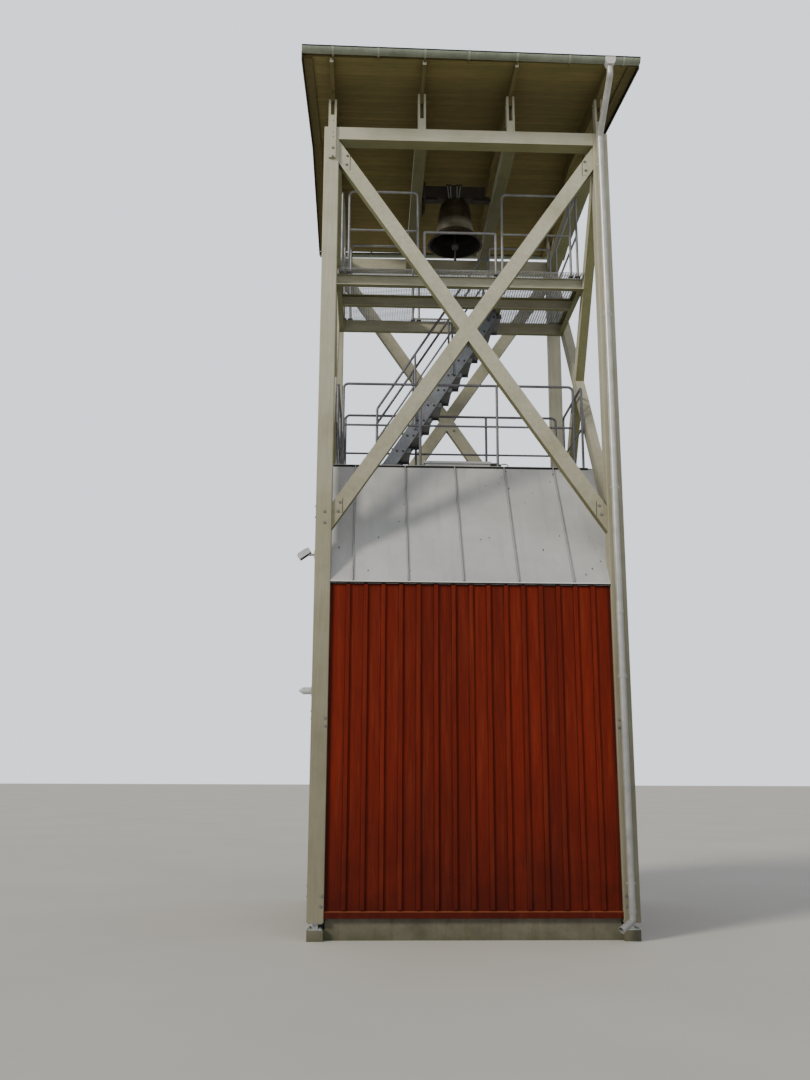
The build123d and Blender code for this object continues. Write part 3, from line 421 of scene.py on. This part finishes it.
# the stair's stringers and treads are darker copies of the galvanised steel: painted shade
STRINGER_STEEL = galvanised("galvanised_shaded_stair", 0.52, 0.4, (0.92, 1.0, 1.10))
TREAD_STEEL = galvanised("galvanised_tread", 0.30, 0.4, (0.95, 1.0, 1.06))

# Stained timber, concrete and bronze
SOFFIT_BOARDS = soffit("soffit_boards", (3.0, 70, 70))
RAFTER_TIMBER = soffit("rafter_timber", (70, 3.0, 70), 0.85)
# a darker copy of the stained boards: painted shade on the verges
VERGE_TIMBER = soffit("verge_timber", (70, 3.0, 70), 0.72)
CONCRETE = concrete("cast_concrete")
BRONZE = bronze("dark_bronze")

# Iron, bolts, gutters and lamps
IRON = {"low": (0.020, 0.016, 0.013), "high": (0.052, 0.042, 0.033), "rough_low": 0.5, "rough_high": 0.75,
        "metal": 0.2, "streaks": (0.09, 0.045, 0.024)}
BLACK_IRON = coated("black_iron", **IRON)
HEADSTOCK_IRON = coated("headstock_iron", **IRON, shade=strap_shade)
CLAPPER_IRON = coated("clapper_iron", (0.045, 0.042, 0.038), (0.14, 0.13, 0.12), 0.4, 0.6, 0.5)
DARK_BOLTS = coated("dark_bolt_steel", (0.030, 0.030, 0.031), (0.060, 0.060, 0.060), 0.5, 0.7, 0.3)
BOLTS = coated("bolt_steel", (0.16, 0.155, 0.14), (0.23, 0.225, 0.20), 0.5, 0.7, 0.3)
GUTTER_SHEET = coated("gutter_sheet", (0.185, 0.215, 0.155), (0.285, 0.315, 0.240), 0.32, 0.48, 0.1,
                      (0.14, 0.165, 0.11), gutter_shade)
STRAP_SHEET = coated("gutter_straps_sheet", (0.30, 0.335, 0.255), (0.38, 0.41, 0.33), 0.35, 0.5, 0.1)
# the gutters' beads in near black: painted shade along the lips
SHADED_BEAD_SHEET = coated("gutter_bead", (0.004, 0.009, 0.006), (0.009, 0.016, 0.012), 0.8, 0.95)
DARK_SHEET = coated("dark_sheet", (0.022, 0.026, 0.023), (0.045, 0.048, 0.044), 0.5, 0.65, 0.1,
                    shade=covering_shade)
DECK_SHEET = coated("deck_sheet", (0.045, 0.045, 0.040), (0.090, 0.088, 0.080), 0.6, 0.8)
SHADOW_BLACK = coated("shadow_black", (0.004, 0.004, 0.004), (0.010, 0.010, 0.009), 0.7, 0.9)
WHITE_TRIM = coated("white_trim", (0.60, 0.60, 0.58), (0.74, 0.74, 0.71), 0.4, 0.6)
PALE_PIPE = coated("pale_pipe", (0.46, 0.455, 0.43), (0.64, 0.635, 0.61), 0.3, 0.45, 0.25,
                   (0.32, 0.315, 0.285), pipe_shade)
LAMP_GREY = coated("lamp_grey", (0.42, 0.43, 0.44), (0.58, 0.59, 0.60), 0.35, 0.5, 0.1)
LAMP_GLASS = coated("lamp_glass", (0.035, 0.038, 0.042), (0.060, 0.065, 0.070), 0.35, 0.5)
PAINTED_STEEL = glulam("painted_steel", (6, 30, 30), 0.95)

PAINTED = (
    (CONCRETE, ("plinth",)),
    (GALVANISED, ("post_shoes",)),
    (PAINT_UPRIGHT, ("post_front_left", "post_front_right", "post_back_left", "post_back_right",
                     "rafter_forks", "tie_planks")),
    (PAINT_ALONG_X, ("beam_front", "beam_back")),
    (PAINT_ALONG_Y, ("beams_side",)),
    (SHADED_PAINT_UNDER_ROOF, ("bell_beams",)),
    (PAINT_BRACES, ("braces_front", "braces_back", "braces_side")),
    (RED_FRONT_BOARDS, ("wall_front", "wall_back")),
    (RED_SIDE_BOARDS, ("wall_left", "wall_right")),
    (RED_DRIP_BOARDS, ("drip_boards",)),
    (SEAMED_SHEET, ("skirt_front", "skirt_back")),
    (PALE_SHEET, ("deck_hatch",)),
    (DECK_SHEET, ("deck",)),
    (SOFFIT_BOARDS, ("roof_boards_front", "roof_boards_back")),
    (RAFTER_TIMBER, ("rafters",)),
    (VERGE_TIMBER, ("verge_boards",)),
    (DARK_SHEET, ("roof_covering",)),
    (GUTTER_SHEET, ("gutters",)),
    (PALE_PIPE, ("downpipes",)),
    (PAINTED_STEEL, ("platform_frame",)),
    (MESH_STEEL, ("platform_grating",)),
    (DECK_RAIL_STEEL, ("deck_railing_front", "deck_railing_back", "deck_railing_sides", "stair_handrails")),
    (HIGH_RAIL_STEEL, ("platform_railing_front", "platform_railing_back", "platform_railing_sides")),
    (STRINGER_STEEL, ("stair_stringers",)),
    (TREAD_STEEL, ("stair_treads",)),
    (BLACK_IRON, ("bell_bearings", "ringing_wheel")),
    (HEADSTOCK_IRON, ("headstock",)),
    (BRONZE, ("bell",)),
    (CLAPPER_IRON, ("clapper",)),
    (LAMP_GREY, ("floodlight", "wall_lamp")),
)
for material, names in PAINTED:
    for name in names:
        NODES[name].data.materials.clear()
        NODES[name].data.materials.append(material)


class Pile:
    """many simple solids gathered in one mesh, each face with a tone"""

    def __init__(self):
        self.bm = bmesh.new()
        self.tone = self.bm.faces.layers.float.new("tone")

    def prism(self, low, high, tone=0.5):
        a = [self.bm.verts.new(p) for p in low]
        b = [self.bm.verts.new(p) for p in high]
        n = len(a)
        made = [self.bm.faces.new(a[::-1]), self.bm.faces.new(b)]
        for i in range(n):
            j = (i + 1) % n
            made.append(self.bm.faces.new((a[i], a[j], b[j], b[i])))
        for f in made:
            f[self.tone] = tone

    def box(self, lo, hi, tone=0.5):
        (x0, y0, z0), (x1, y1, z1) = lo, hi
        self.prism([(x0, y0, z0), (x1, y0, z0), (x1, y1, z0), (x0, y1, z0)],
                   [(x0, y0, z1), (x1, y0, z1), (x1, y1, z1), (x0, y1, z1)], tone)

    def along_x(self, x0, x1, yz, tone=0.5):
        self.prism([(x0, y, z) for y, z in yz], [(x1, y, z) for y, z in yz], tone)

    def disc(self, centre, direction, radius, depth, sides=6, turn=0.0):
        """a bolt head or washer standing on a face"""
        d = Vector(direction).normalized()
        u = d.orthogonal().normalized()
        v = d.cross(u)
        angles = [turn + 2 * math.pi * k / sides for k in range(sides)]
        ring = [Vector(centre) + radius * (math.cos(t) * u + math.sin(t) * v) for t in angles]
        self.prism(ring, [p + d * depth for p in ring])

    def bolt(self, at, out, size=0.011, washer=0.018, height=0.012):
        """a hexagon head on a round washer"""
        thick = 0.003
        self.disc(at, out, washer, thick, 14)
        self.disc(Vector(at) + thick * Vector(out), out, size, height - thick, 6, rng.random())

    def piece(self, name, material, slot, body="tower", bevel=0.0):
        bmesh.ops.recalc_face_normals(self.bm, faces=self.bm.faces)
        me = bpy.data.meshes.new(name)
        self.bm.to_mesh(me)
        self.bm.free()
        ob = bpy.data.objects.new(name, me)
        scene.collection.objects.link(ob)
        me.materials.append(material)
        if bevel:
            soften(ob, bevel)
        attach(ob, body)
        return ob


def soften(ob, width):
    """rounded arrises on a piece with hard edges"""
    m = ob.modifiers.new("arris", "BEVEL")
    m.width = width
    m.segments = 2
    m.limit_method = "ANGLE"
    m.angle_limit = math.radians(40)
    m.harden_normals = False


HARD_EDGED = ("post_front", "post_back", "beam", "bell_beams", "braces", "rafter", "drip", "plinth")
ARRIS = 0.003
BATTEN_ARRIS = 0.002

for name in NODES:
    if name.startswith(HARD_EDGED):
        soften(NODES[name], ARRIS)

# Battens on the shed's walls
BATTEN_T = 0.022
BATTENS_A_SIDE = 7
BATTEN_FOOT = DRIP_TOP + 0.009
BATTEN_HEAD = 3.762
BATTEN_GAP = 0.004
UNDER_DECK = 5.380


def skirt_under(y):
    """height of the skirt's underside at a distance y from the middle"""
    slope = (SKIRT_HEAD - SKIRT_FOOT) / (SKIRT_OUT - SKIRT_IN)
    return SKIRT_FOOT + (SKIRT_OUT - y) * slope - SKIRT_T / math.cos(math.atan(slope))


def battens(side, axis):
    """battens over the joints of one wall's boards, on the side walls up to the skirts and the deck"""
    pile = Pile()
    low, high = sorted((side * WALL_FACE, side * (WALL_FACE + BATTEN_T)))
    for k in range(-BATTENS_A_SIDE, BATTENS_A_SIDE + 1):
        left = k * BOARD_PITCH - BATTEN_W / 2
        right = k * BOARD_PITCH + BATTEN_W / 2
        tone = rng.random()
        if axis == "x":
            pile.box((left, low, BATTEN_FOOT), (right, high, BATTEN_HEAD), tone)
        else:
            heads = [min(UNDER_DECK, skirt_under(abs(y)) - BATTEN_GAP) for y in (left, right)]
            outline = [(left, BATTEN_FOOT), (right, BATTEN_FOOT), (right, heads[1]), (left, heads[0])]
            pile.along_x(low, high, outline, tone)
    return pile


battens(-1, "x").piece("battens_front", RED_FRONT_BATTENS, "red_boards", bevel=BATTEN_ARRIS)
battens(1, "x").piece("battens_back", RED_FRONT_BATTENS, "red_boards", bevel=BATTEN_ARRIS)
battens(-1, "y").piece("battens_left", RED_SIDE_BATTENS, "red_boards", bevel=BATTEN_ARRIS)
battens(1, "y").piece("battens_right", RED_SIDE_BATTENS, "red_boards", bevel=BATTEN_ARRIS)

# Roof boards with their joints
ROOF_BOARDS = 24
ROOF_BOARD_T = 0.023
JOINT = 0.004
RIDGE_GAP = 0.001


def roof_under(y):
    """height of the boards' underside at a distance y from the ridge"""
    return RIDGE - ROOF_SLOPE * y


def roof_boards(side):
    """boards from ridge to eave, with a V-joint between each two on the underside"""
    pile = Pile()
    for k in range(ROOF_BOARDS):
        a = RIDGE_GAP + (ROOF_Y - RIDGE_GAP) * k / ROOF_BOARDS
        b = RIDGE_GAP + (ROOF_Y - RIDGE_GAP) * (k + 1) / ROOF_BOARDS
        section = [(a, roof_under(a) + JOINT), (a + JOINT, roof_under(a + JOINT)),
                   (b - JOINT, roof_under(b - JOINT)), (b, roof_under(b) + JOINT),
                   (b, roof_under(b) + ROOF_BOARD_T), (a, roof_under(a) + ROOF_BOARD_T)]
        pile.along_x(-ROOF_X, ROOF_X, [(side * y, z) for y, z in section], rng.random())
    return pile


for side, node in ((-1, "roof_boards_front"), (1, "roof_boards_back")):
    boards = roof_boards(side).piece(node + "_grooved", SOFFIT_BOARDS, "stained_timber")
    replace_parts(boards, node)

# Open mesh of the platform, with the stair's well
WELL_X = (-0.550, 0.6023)
WELL_Y = (-0.095, 0.590)
BEARING_PITCH = 0.034
CROSS_PITCH = 0.038
BAR_HALF = 0.0015
EDGE_BAR_HALF = 0.003
END_BAR_IN = 0.004
BARS_ABOVE_FOOT = 0.001
CROSS_BAR_BELOW = (0.009, 0.001)


def places(low, high, pitch):
    n = round((high - low) / pitch)
    return [low + (high - low) * k / n for k in range(n + 1)]


def stretches(low, high, well, cut):
    """a bar from low to high, in two stretches where the well cuts it"""
    return ((low, well[0]), (well[1], high)) if cut else ((low, high),)


def mesh():
    """bearing bars from front to back, shallow cross bars near their tops, and a frame around the well"""
    (left, front, foot), (right, back, top) = GRATING
    pile = Pile()
    for x in places(left + END_BAR_IN, right - END_BAR_IN, BEARING_PITCH):
        for y0, y1 in stretches(front, back, WELL_Y, WELL_X[0] < x < WELL_X[1]):
            pile.box((x - BAR_HALF, y0, foot + BARS_ABOVE_FOOT), (x + BAR_HALF, y1, top))
    z0, z1 = (top - below for below in CROSS_BAR_BELOW)
    for y in places(front + END_BAR_IN, back - END_BAR_IN, CROSS_PITCH):
        for x0, x1 in stretches(left, right, WELL_X, WELL_Y[0] < y < WELL_Y[1]):
            pile.box((x0, y - BAR_HALF, z0), (x1, y + BAR_HALF, z1))
    for x in WELL_X:
        pile.box((x - EDGE_BAR_HALF, WELL_Y[0], foot), (x + EDGE_BAR_HALF, WELL_Y[1], top))
    for y in WELL_Y:
        pile.box((WELL_X[0], y - EDGE_BAR_HALF, foot), (WELL_X[1], y + EDGE_BAR_HALF, top))
    return pile


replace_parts(mesh().piece("grating_mesh", MESH_STEEL, "galvanised_steel"), "platform_grating")

# Bolts of the frame, each as its distance from the middle and its height
FRONT_POST_BOLTS = ((1.650, 4.575), (1.648, 4.447), (1.597, 2.279),
                    (1.596, 2.194), (1.600, 0.451), (1.604, 0.348))
SIDE_POST_BOLTS = ((1.650, 4.660), (1.650, 4.530), (1.600, 2.360),
                   (1.600, 2.280), (1.600, 0.535), (1.600, 0.430))
SHOE_BOLT = 0.055
SHOE_TOP = 0.122
BRACE_BOLTS = ((1.462, 9.075), (1.471, 8.955), (1.479, 4.692), (1.500, 4.590))
CROSSING_BOLTS = ((-0.109, 6.990), (0.109, 6.680))
BRACE_PLATES = (((1.433, 1.484), (8.885, 9.085)), ((1.452, 1.531), (4.571, 4.742)))
BRACE_SLOTS = [((x0 - 0.007, x0 - 0.001), z) for (x0, x1), z in BRACE_PLATES]
PLATE_T = 0.003
SLOT_T = 0.0008
TIE_X = 1.642
TIE_BOLTS = (9.146, 9.027)
TIE_SCREWS = (9.361, 9.300, 9.520)
SCREW_R, SCREW_HEIGHT = 0.007, 0.003
FORK_HEADS = (9.830, 9.940, 9.940, 9.930)
FORK_BOLTS_BELOW = (0.035, 0.085)
FORK_Y = 1.695
CHEEK_OUT = 0.0488


def post_bolts():
    pile = Pile()
    for sx, sy in CORNERS:
        for x, z in FRONT_POST_BOLTS:
            pile.bolt((sx * x, sy * HALF, z), (0, sy, 0))
        for y, z in SIDE_POST_BOLTS:
            pile.bolt((sx * HALF, sy * y, z), (sx, 0, 0))
        for dx, dy in CORNERS:
            at = (sx * (POST_MIDDLE + dx * SHOE_BOLT), sy * (POST_MIDDLE + dy * SHOE_BOLT), SHOE_TOP)
            pile.bolt(at, (0, 0, 1), height=0.014)
    return pile


def brace_bolts():
    pile = Pile()
    face = BRACE_FACE + PLATE_T
    for sy, sx in CORNERS:
        for x, z in BRACE_BOLTS:
            pile.bolt((sx * x, sy * face, z), (0, sy, 0))
            pile.bolt((sy * face, sx * x, z), (sy, 0, 0))
    for x, z in CROSSING_BOLTS:
        for sy in BOTH:
            pile.bolt((x, sy * BRACE_BACK, z), (0, -sy, 0))
    return pile


def brace_flats(flats, thick):
    """thin flats on the braces' faces near their ends, on the front and back and on the sides"""
    pile = Pile()
    for sy, sx in CORNERS:
        for (x0, x1), (z0, z1) in flats:
            a = sorted((sx * x0, sx * x1))
            b = sorted((sy * BRACE_FACE, sy * (BRACE_FACE + thick)))
            pile.box((a[0], b[0], z0), (a[1], b[1], z1))
            pile.box((b[0], a[0], z0), (b[1], a[1], z1))
    return pile


def fork_bolts():
    """bolts and screws of the planks over the outer forks, and bolts through the forks' cheeks"""
    pile = Pile()
    for sx, sy in CORNERS:
        for z in TIE_BOLTS:
            pile.bolt((sx * TIE_X, sy * TIE_FACE, z), (0, sy, 0))
        for z in TIE_SCREWS:
            pile.disc((sx * TIE_X, sy * TIE_FACE, z), (0, sy, 0), SCREW_R, SCREW_HEIGHT, 8)
    for x, head in zip(RAFTER_X, FORK_HEADS):
        for sx, sy in CORNERS:
            for below in FORK_BOLTS_BELOW:
                at = (x + sx * CHEEK_OUT, sy * FORK_Y, head - below)
                pile.bolt(at, (sx, 0, 0), size=0.009, washer=0.016, height=0.010)
    return pile


post_bolts().piece("post_bolts", BOLTS, "galvanised_steel")
brace_bolts().piece("brace_bolts", BOLTS, "galvanised_steel")
brace_flats(BRACE_PLATES, PLATE_T).piece("brace_plates", PAINT_ALONG_X, "galvanised_steel")
brace_flats(BRACE_SLOTS, SLOT_T).piece("brace_slots", SHADOW_BLACK, "painted_timber")
fork_bolts().piece("fork_bolts", BOLTS, "galvanised_steel")

# Bolts of the stair's treads
STAIR_FOOT_X = -1.1152
STRINGER_FACES = ((-0.040, -1), (0.535, 1))
TREADS = 11
GOING = 0.13727
RISE = 0.21428
TREAD_BOLTS_X = (0.050, 0.130)
BELOW_TREAD = 0.040

pile = Pile()
for k in range(1, TREADS + 1):
    for y, out in STRINGER_FACES:
        for dx in TREAD_BOLTS_X:
            at = (STAIR_FOOT_X + GOING * k + dx, y, DECK_TOP + RISE * k - BELOW_TREAD)
            pile.bolt(at, (0, out, 0), size=0.009, washer=0.015, height=0.009)
pile.piece("tread_bolts", DARK_BOLTS, "galvanised_steel")

# Foot plates of the railings
DECK_FEET = [(x, y) for y in (-0.606, 0.606) for x in (-1.4895, -0.5098, 0.4698, 1.4495)]
DECK_FEET += [(x, y) for x in (-1.5605, 1.5605) for y in (-0.600, 0.600)]
HIGH_FEET_X = (-1.5405, -1.4505, -0.552, -0.467, 0.467, 0.552, 1.4505, 1.5405)
HIGH_FEET = [(x, y) for y in (-0.757, 0.677) for x in HIGH_FEET_X]
FOOT_HALF = 0.034
FOOT_T = 0.006
FOOT_BOLT = 0.026
FOOT_BOLT_R, FOOT_BOLT_HEIGHT = 0.006, 0.005

pile = Pile()
for feet, z in ((DECK_FEET, DECK_TOP), (HIGH_FEET, GRATING[1][2])):
    for x, y in feet:
        pile.box((x - FOOT_HALF, y - FOOT_HALF, z + OFF_FACE), (x + FOOT_HALF, y + FOOT_HALF, z + FOOT_T))
        for sx in BOTH:
            at = (x + sx * FOOT_BOLT, y - sx * FOOT_BOLT, z + FOOT_T)
            pile.disc(at, (0, 0, 1), FOOT_BOLT_R, FOOT_BOLT_HEIGHT)
pile.piece("railing_feet", GALVANISED, "galvanised_steel")

# Painted ends of the rafters
RAFTER_HALF = 0.0215
RAFTER_DEPTH = 0.0565
BELOW_BOARDS = 0.002
PAINT_FROM, PAINT_TO = 0.0001, 0.0010

for side, name in ((-1, "rafter_ends_front"), (1, "rafter_ends_back")):
    pile = Pile()
    near, far = sorted((side * (RAFTER_END + PAINT_FROM), side * (RAFTER_END + PAINT_TO)))
    top = roof_under(RAFTER_END) - BELOW_BOARDS
    for x in RAFTER_X:
        pile.box((x - RAFTER_HALF, near, top - RAFTER_DEPTH), (x + RAFTER_HALF, far, top))
    pile.piece(name, RAFTER_END_PAINT, "stained_timber")

# Straps and end beads of the gutters; the back gutter is the front one turned half round
LIP = roof_under(2.350) + 0.047
GUTTER_HALF = 2.0
GUTTER_FALL = 0.042
STRAP_X = (-1.638, -1.101, -0.548, -0.030, 0.543, 1.163, 1.806)
STRAP_HALF = 0.011
STRAP_INNER = GUTTER_R + OFF_FACE
STRAP_OUTER = GUTTER_R + 0.0032
STRAP_ANGLES = [math.radians(178 + 15 * k) for k in range(11)]
STRAP_LOW = 0.004
HOOK_INNER_Y = GUTTER_Y + 0.036
HOOK_Z = (0.004, 0.012)
BEAD_X = 1.9995
BEAD_R = 0.0108
BEAD_IN = 0.006
BEAD_LOW = 0.001


def lip_at(x):
    """height of the front gutter's lip"""
    return LIP - GUTTER_FALL * (x + GUTTER_HALF) / (2 * GUTTER_HALF)


def strap(pile, x, turned):
    """a thin band under the gutter, turned over its lip; turned is -1 at the back"""
    z = lip_at(x) - STRAP_LOW
    for a, b in zip(STRAP_ANGLES, STRAP_ANGLES[1:]):
        corners = ((STRAP_INNER, a), (STRAP_INNER, b), (STRAP_OUTER, b), (STRAP_OUTER, a))
        section = [(turned * (r * math.cos(t) - GUTTER_Y), z + r * math.sin(t)) for r, t in corners]
        pile.along_x(turned * (x - STRAP_HALF), turned * (x + STRAP_HALF), section)
    x0, x1 = sorted((turned * (x - STRAP_HALF), turned * (x + STRAP_HALF)))
    y0, y1 = sorted((-turned * (GUTTER_Y + STRAP_OUTER), -turned * HOOK_INNER_Y))
    pile.box((x0, y0, z + HOOK_Z[0]), (x1, y1, z + HOOK_Z[1]))


def bead(pile, turned):
    """the rolled front edge of the gutter, from end to end"""
    ends = []
    for x in (-BEAD_X, BEAD_X):
        y = -turned * (GUTTER_Y + GUTTER_R - BEAD_IN)
        z = lip_at(x) - BEAD_LOW
        angles = [k * math.pi / 6 for k in range(12)]
        ends.append([(turned * x, y + BEAD_R * math.cos(t), z + BEAD_R * math.sin(t)) for t in angles])
    pile.prism(*ends)


straps = Pile()
beads = Pile()
for turned in BOTH:
    for x in STRAP_X:
        strap(straps, x, turned)
    bead(beads, turned)
straps.piece("gutter_straps", STRAP_SHEET, "green_sheet")
beads.piece("gutter_beads", SHADED_BEAD_SHEET, "green_sheet")


# Edges of the skirts and the deck
def strip(pile, side, half_length, edge, section):
    """a strip along the front or back; its section is given from a point on the edge that it trims"""
    pile.along_x(-half_length, half_length, [(side * (edge[0] + y), edge[1] + z) for y, z in section])


SKIRT_EDGE = (SKIRT_OUT, SKIRT_FOOT)
SKIRT_HALF = 1.568
WHITE_LIP = ((OFF_FACE, 0.001), (0.0042, 0.0), (0.0042, -0.011), (OFF_FACE, -0.011))
LIP_SHADOW = ((OFF_FACE, -0.011), (0.0030, -0.011), (-0.0010, -0.0245), (-0.0110, -0.0245))
DECK_STRIP_HALF = 1.600
BLACK_EDGE = ((0.013, -0.025), (0.013, 0.0015), (-0.003, 0.0015), (0.001, -0.013))
PALE_EDGE = ((0.014, 0.0015), (0.014, 0.0065), (-0.010, 0.0065), (-0.010, 0.0015))

shadows = Pile()
for side, name in ((-1, "drip_edge_front"), (1, "drip_edge_back")):
    pile = Pile()
    strip(pile, side, SKIRT_HALF, SKIRT_EDGE, WHITE_LIP)
    pile.piece(name, WHITE_TRIM, "seam_sheet")
    strip(shadows, side, SKIRT_HALF, SKIRT_EDGE, LIP_SHADOW)
shadows.piece("drip_edge_shadows", SHADOW_BLACK, "dark_sheet")

dark_edges = Pile()
pale_edges = Pile()
for side in BOTH:
    strip(dark_edges, side, DECK_STRIP_HALF, (DECK_EDGE, DECK_TOP), BLACK_EDGE)
    strip(pale_edges, side, DECK_STRIP_HALF, (DECK_EDGE, DECK_TOP), PALE_EDGE)
dark_edges.piece("deck_edges", SHADOW_BLACK, "dark_sheet")
pale_edges.piece("deck_edge_sheets", PALE_SHEET, "seam_sheet")

# Latch and hinges of the hatch
LATCH_CASE = (((0.386, -0.348, 5.4495), (0.5375, -0.252, 5.5335)),
              ((0.402, -0.340, 5.5335), (0.5240, -0.260, 5.5980)),
              ((0.523, -0.315, 5.5600), (0.5520, -0.285, 5.5900)))
RING_MIDDLE = Vector((0.590, -0.300, 5.572))
RING_X, RING_Z = 0.052, 0.024
RING_BAR_HALF = 0.006
RING_SIDES = 18
HINGES_X = (-0.300, 0.240)
HINGE_HALF = 0.030
HINGE_LEAVES = (((-0.0855, 5.5300), (-0.0845, 5.5660)), ((-0.1450, 5.5645), (-0.0860, 5.5665)))


def latch():
    """a case in two steps, a short neck and an oval ring of square bar"""
    pile = Pile()
    for lo, hi in LATCH_CASE:
        pile.box(lo, hi)
    angles = [2 * math.pi * k / RING_SIDES for k in range(RING_SIDES)]
    ring = [RING_MIDDLE + Vector((RING_X * math.cos(t), 0, RING_Z * math.sin(t))) for t in angles]
    sections = []
    for p in ring:
        out = (p - RING_MIDDLE).normalized() * RING_BAR_HALF
        side = Vector((0, RING_BAR_HALF, 0))
        sections.append([p - out - side, p + out - side, p + out + side, p - out + side])
    for k in range(RING_SIDES):
        pile.prism(sections[k], sections[(k + 1) % RING_SIDES])
    return pile


latch().piece("hatch_latch", BLACK_IRON, "dark_steel")
pile = Pile()
for x in HINGES_X:
    for lo, hi in HINGE_LEAVES:
        pile.box((x - HINGE_HALF, *lo), (x + HINGE_HALF, *hi))
pile.piece("hatch_hinges", GALVANISED, "galvanised_steel")

# Nuts on the headstock's straps
NUTS_X = (-0.107, -0.065, 0.031, 0.077)
NUTS_Y = (-0.088, 0.088)
NUTS_Z = 9.7142
NUT_R, NUT_HEIGHT = 0.015, 0.012

pile = Pile()
for x in NUTS_X:
    for y in NUTS_Y:
        pile.disc((x, y, NUTS_Z), (0, 0, 1), NUT_R, NUT_HEIGHT, 6, rng.random())
pile.piece("headstock_nuts", BLACK_IRON, "dark_steel", "bell_assembly")

# Glass on the floodlight's lower face
GLASS_HALF = (0.062, 0.050)
GLASS_Z = (-0.034, -0.031)
LAMP_TURN = Matrix.Rotation(math.radians(-35), 4, "Y")
LAMP_MIDDLE = Vector((-1.8703, -POST_MIDDLE, 4.100))

outline = [(sx * GLASS_HALF[0], sy * GLASS_HALF[1]) for sx, sy in ((-1, -1), (1, -1), (1, 1), (-1, 1))]
pile = Pile()
pile.prism(*[[LAMP_MIDDLE + LAMP_TURN @ Vector((x, y, z)) for x, y in outline] for z in GLASS_Z])
pile.piece("floodlight_glass", LAMP_GLASS, "lamp_housing")

# Floor, sky and lights
floor = bpy.data.meshes.new("floor")
floor.from_pydata([(-60, -40, 0), (60, -40, 0), (60, 90, 0), (-60, 90, 0)], [], [(0, 1, 2, 3)])
floor_ob = bpy.data.objects.new("floor", floor)
scene.collection.objects.link(floor_ob)
g = Graph("floor_paint", Roughness=0.9)
floor.materials.append(g.done(g.ramp(g.noise(0.4), (0.3, (0.54, 0.525, 0.475)), (0.7, (0.58, 0.565, 0.515)))))

world = bpy.data.worlds.new("studio")
scene.world = world
world.use_nodes = True
tree = world.node_tree
sky = tree.nodes["Background"]
sky.inputs["Color"].default_value = (0.88, 0.92, 1.0, 1)
sky.inputs["Strength"].default_value = 0.55
seen = tree.nodes.new("ShaderNodeBackground")
seen.inputs["Color"].default_value = (0.84, 0.89, 0.97, 1)
seen.inputs["Strength"].default_value = 1.5
both = tree.nodes.new("ShaderNodeMixShader")
tree.links.new(tree.nodes.new("ShaderNodeLightPath").outputs["Is Camera Ray"], both.inputs[0])
tree.links.new(sky.outputs[0], both.inputs[1])
tree.links.new(seen.outputs[0], both.inputs[2])
tree.links.new(both.outputs[0], tree.nodes["World Output"].inputs["Surface"])


def sun(name, direction, strength, angle, color):
    """a distant light; a large angle gives soft shadows"""
    data = bpy.data.lights.new(name, "SUN")
    data.energy = strength
    data.angle = math.radians(angle)
    data.color = color
    ob = bpy.data.objects.new(name, data)
    scene.collection.objects.link(ob)
    ob.rotation_mode = "QUATERNION"
    ob.rotation_quaternion = Vector(direction).to_track_quat("-Z", "Y")


sun("key", (0.78, 0.60, -0.50), 2.3, 12, (1.0, 0.93, 0.80))
sun("fill", (-0.25, 0.9, -0.35), 0.45, 60, (1.0, 0.97, 0.92))

# The photo's camera, fitted to the straight edges of the frame
EYE = Vector((-1.14488, -12.96731, 1.77429))
RIGHT = Vector((0.99931493, -0.03680877, 0.00384637))
UP = Vector((-0.01169934, -0.21559194, 0.97641346))
FOCAL_PIXELS = 1023.15
PHOTO_HEIGHT = 1080
SENSOR = 36.0

back = RIGHT.cross(UP)
cam_data = bpy.data.cameras.new("camera")
cam_data.sensor_width = SENSOR
cam_data.lens = SENSOR * FOCAL_PIXELS / PHOTO_HEIGHT
cam_data.clip_end = 300
cam = bpy.data.objects.new("camera", cam_data)
scene.collection.objects.link(cam)
cam.matrix_world = Matrix((
    (RIGHT.x, UP.x, back.x, EYE.x),
    (RIGHT.y, UP.y, back.y, EYE.y),
    (RIGHT.z, UP.z, back.z, EYE.z),
    (0, 0, 0, 1)))
scene.camera = cam
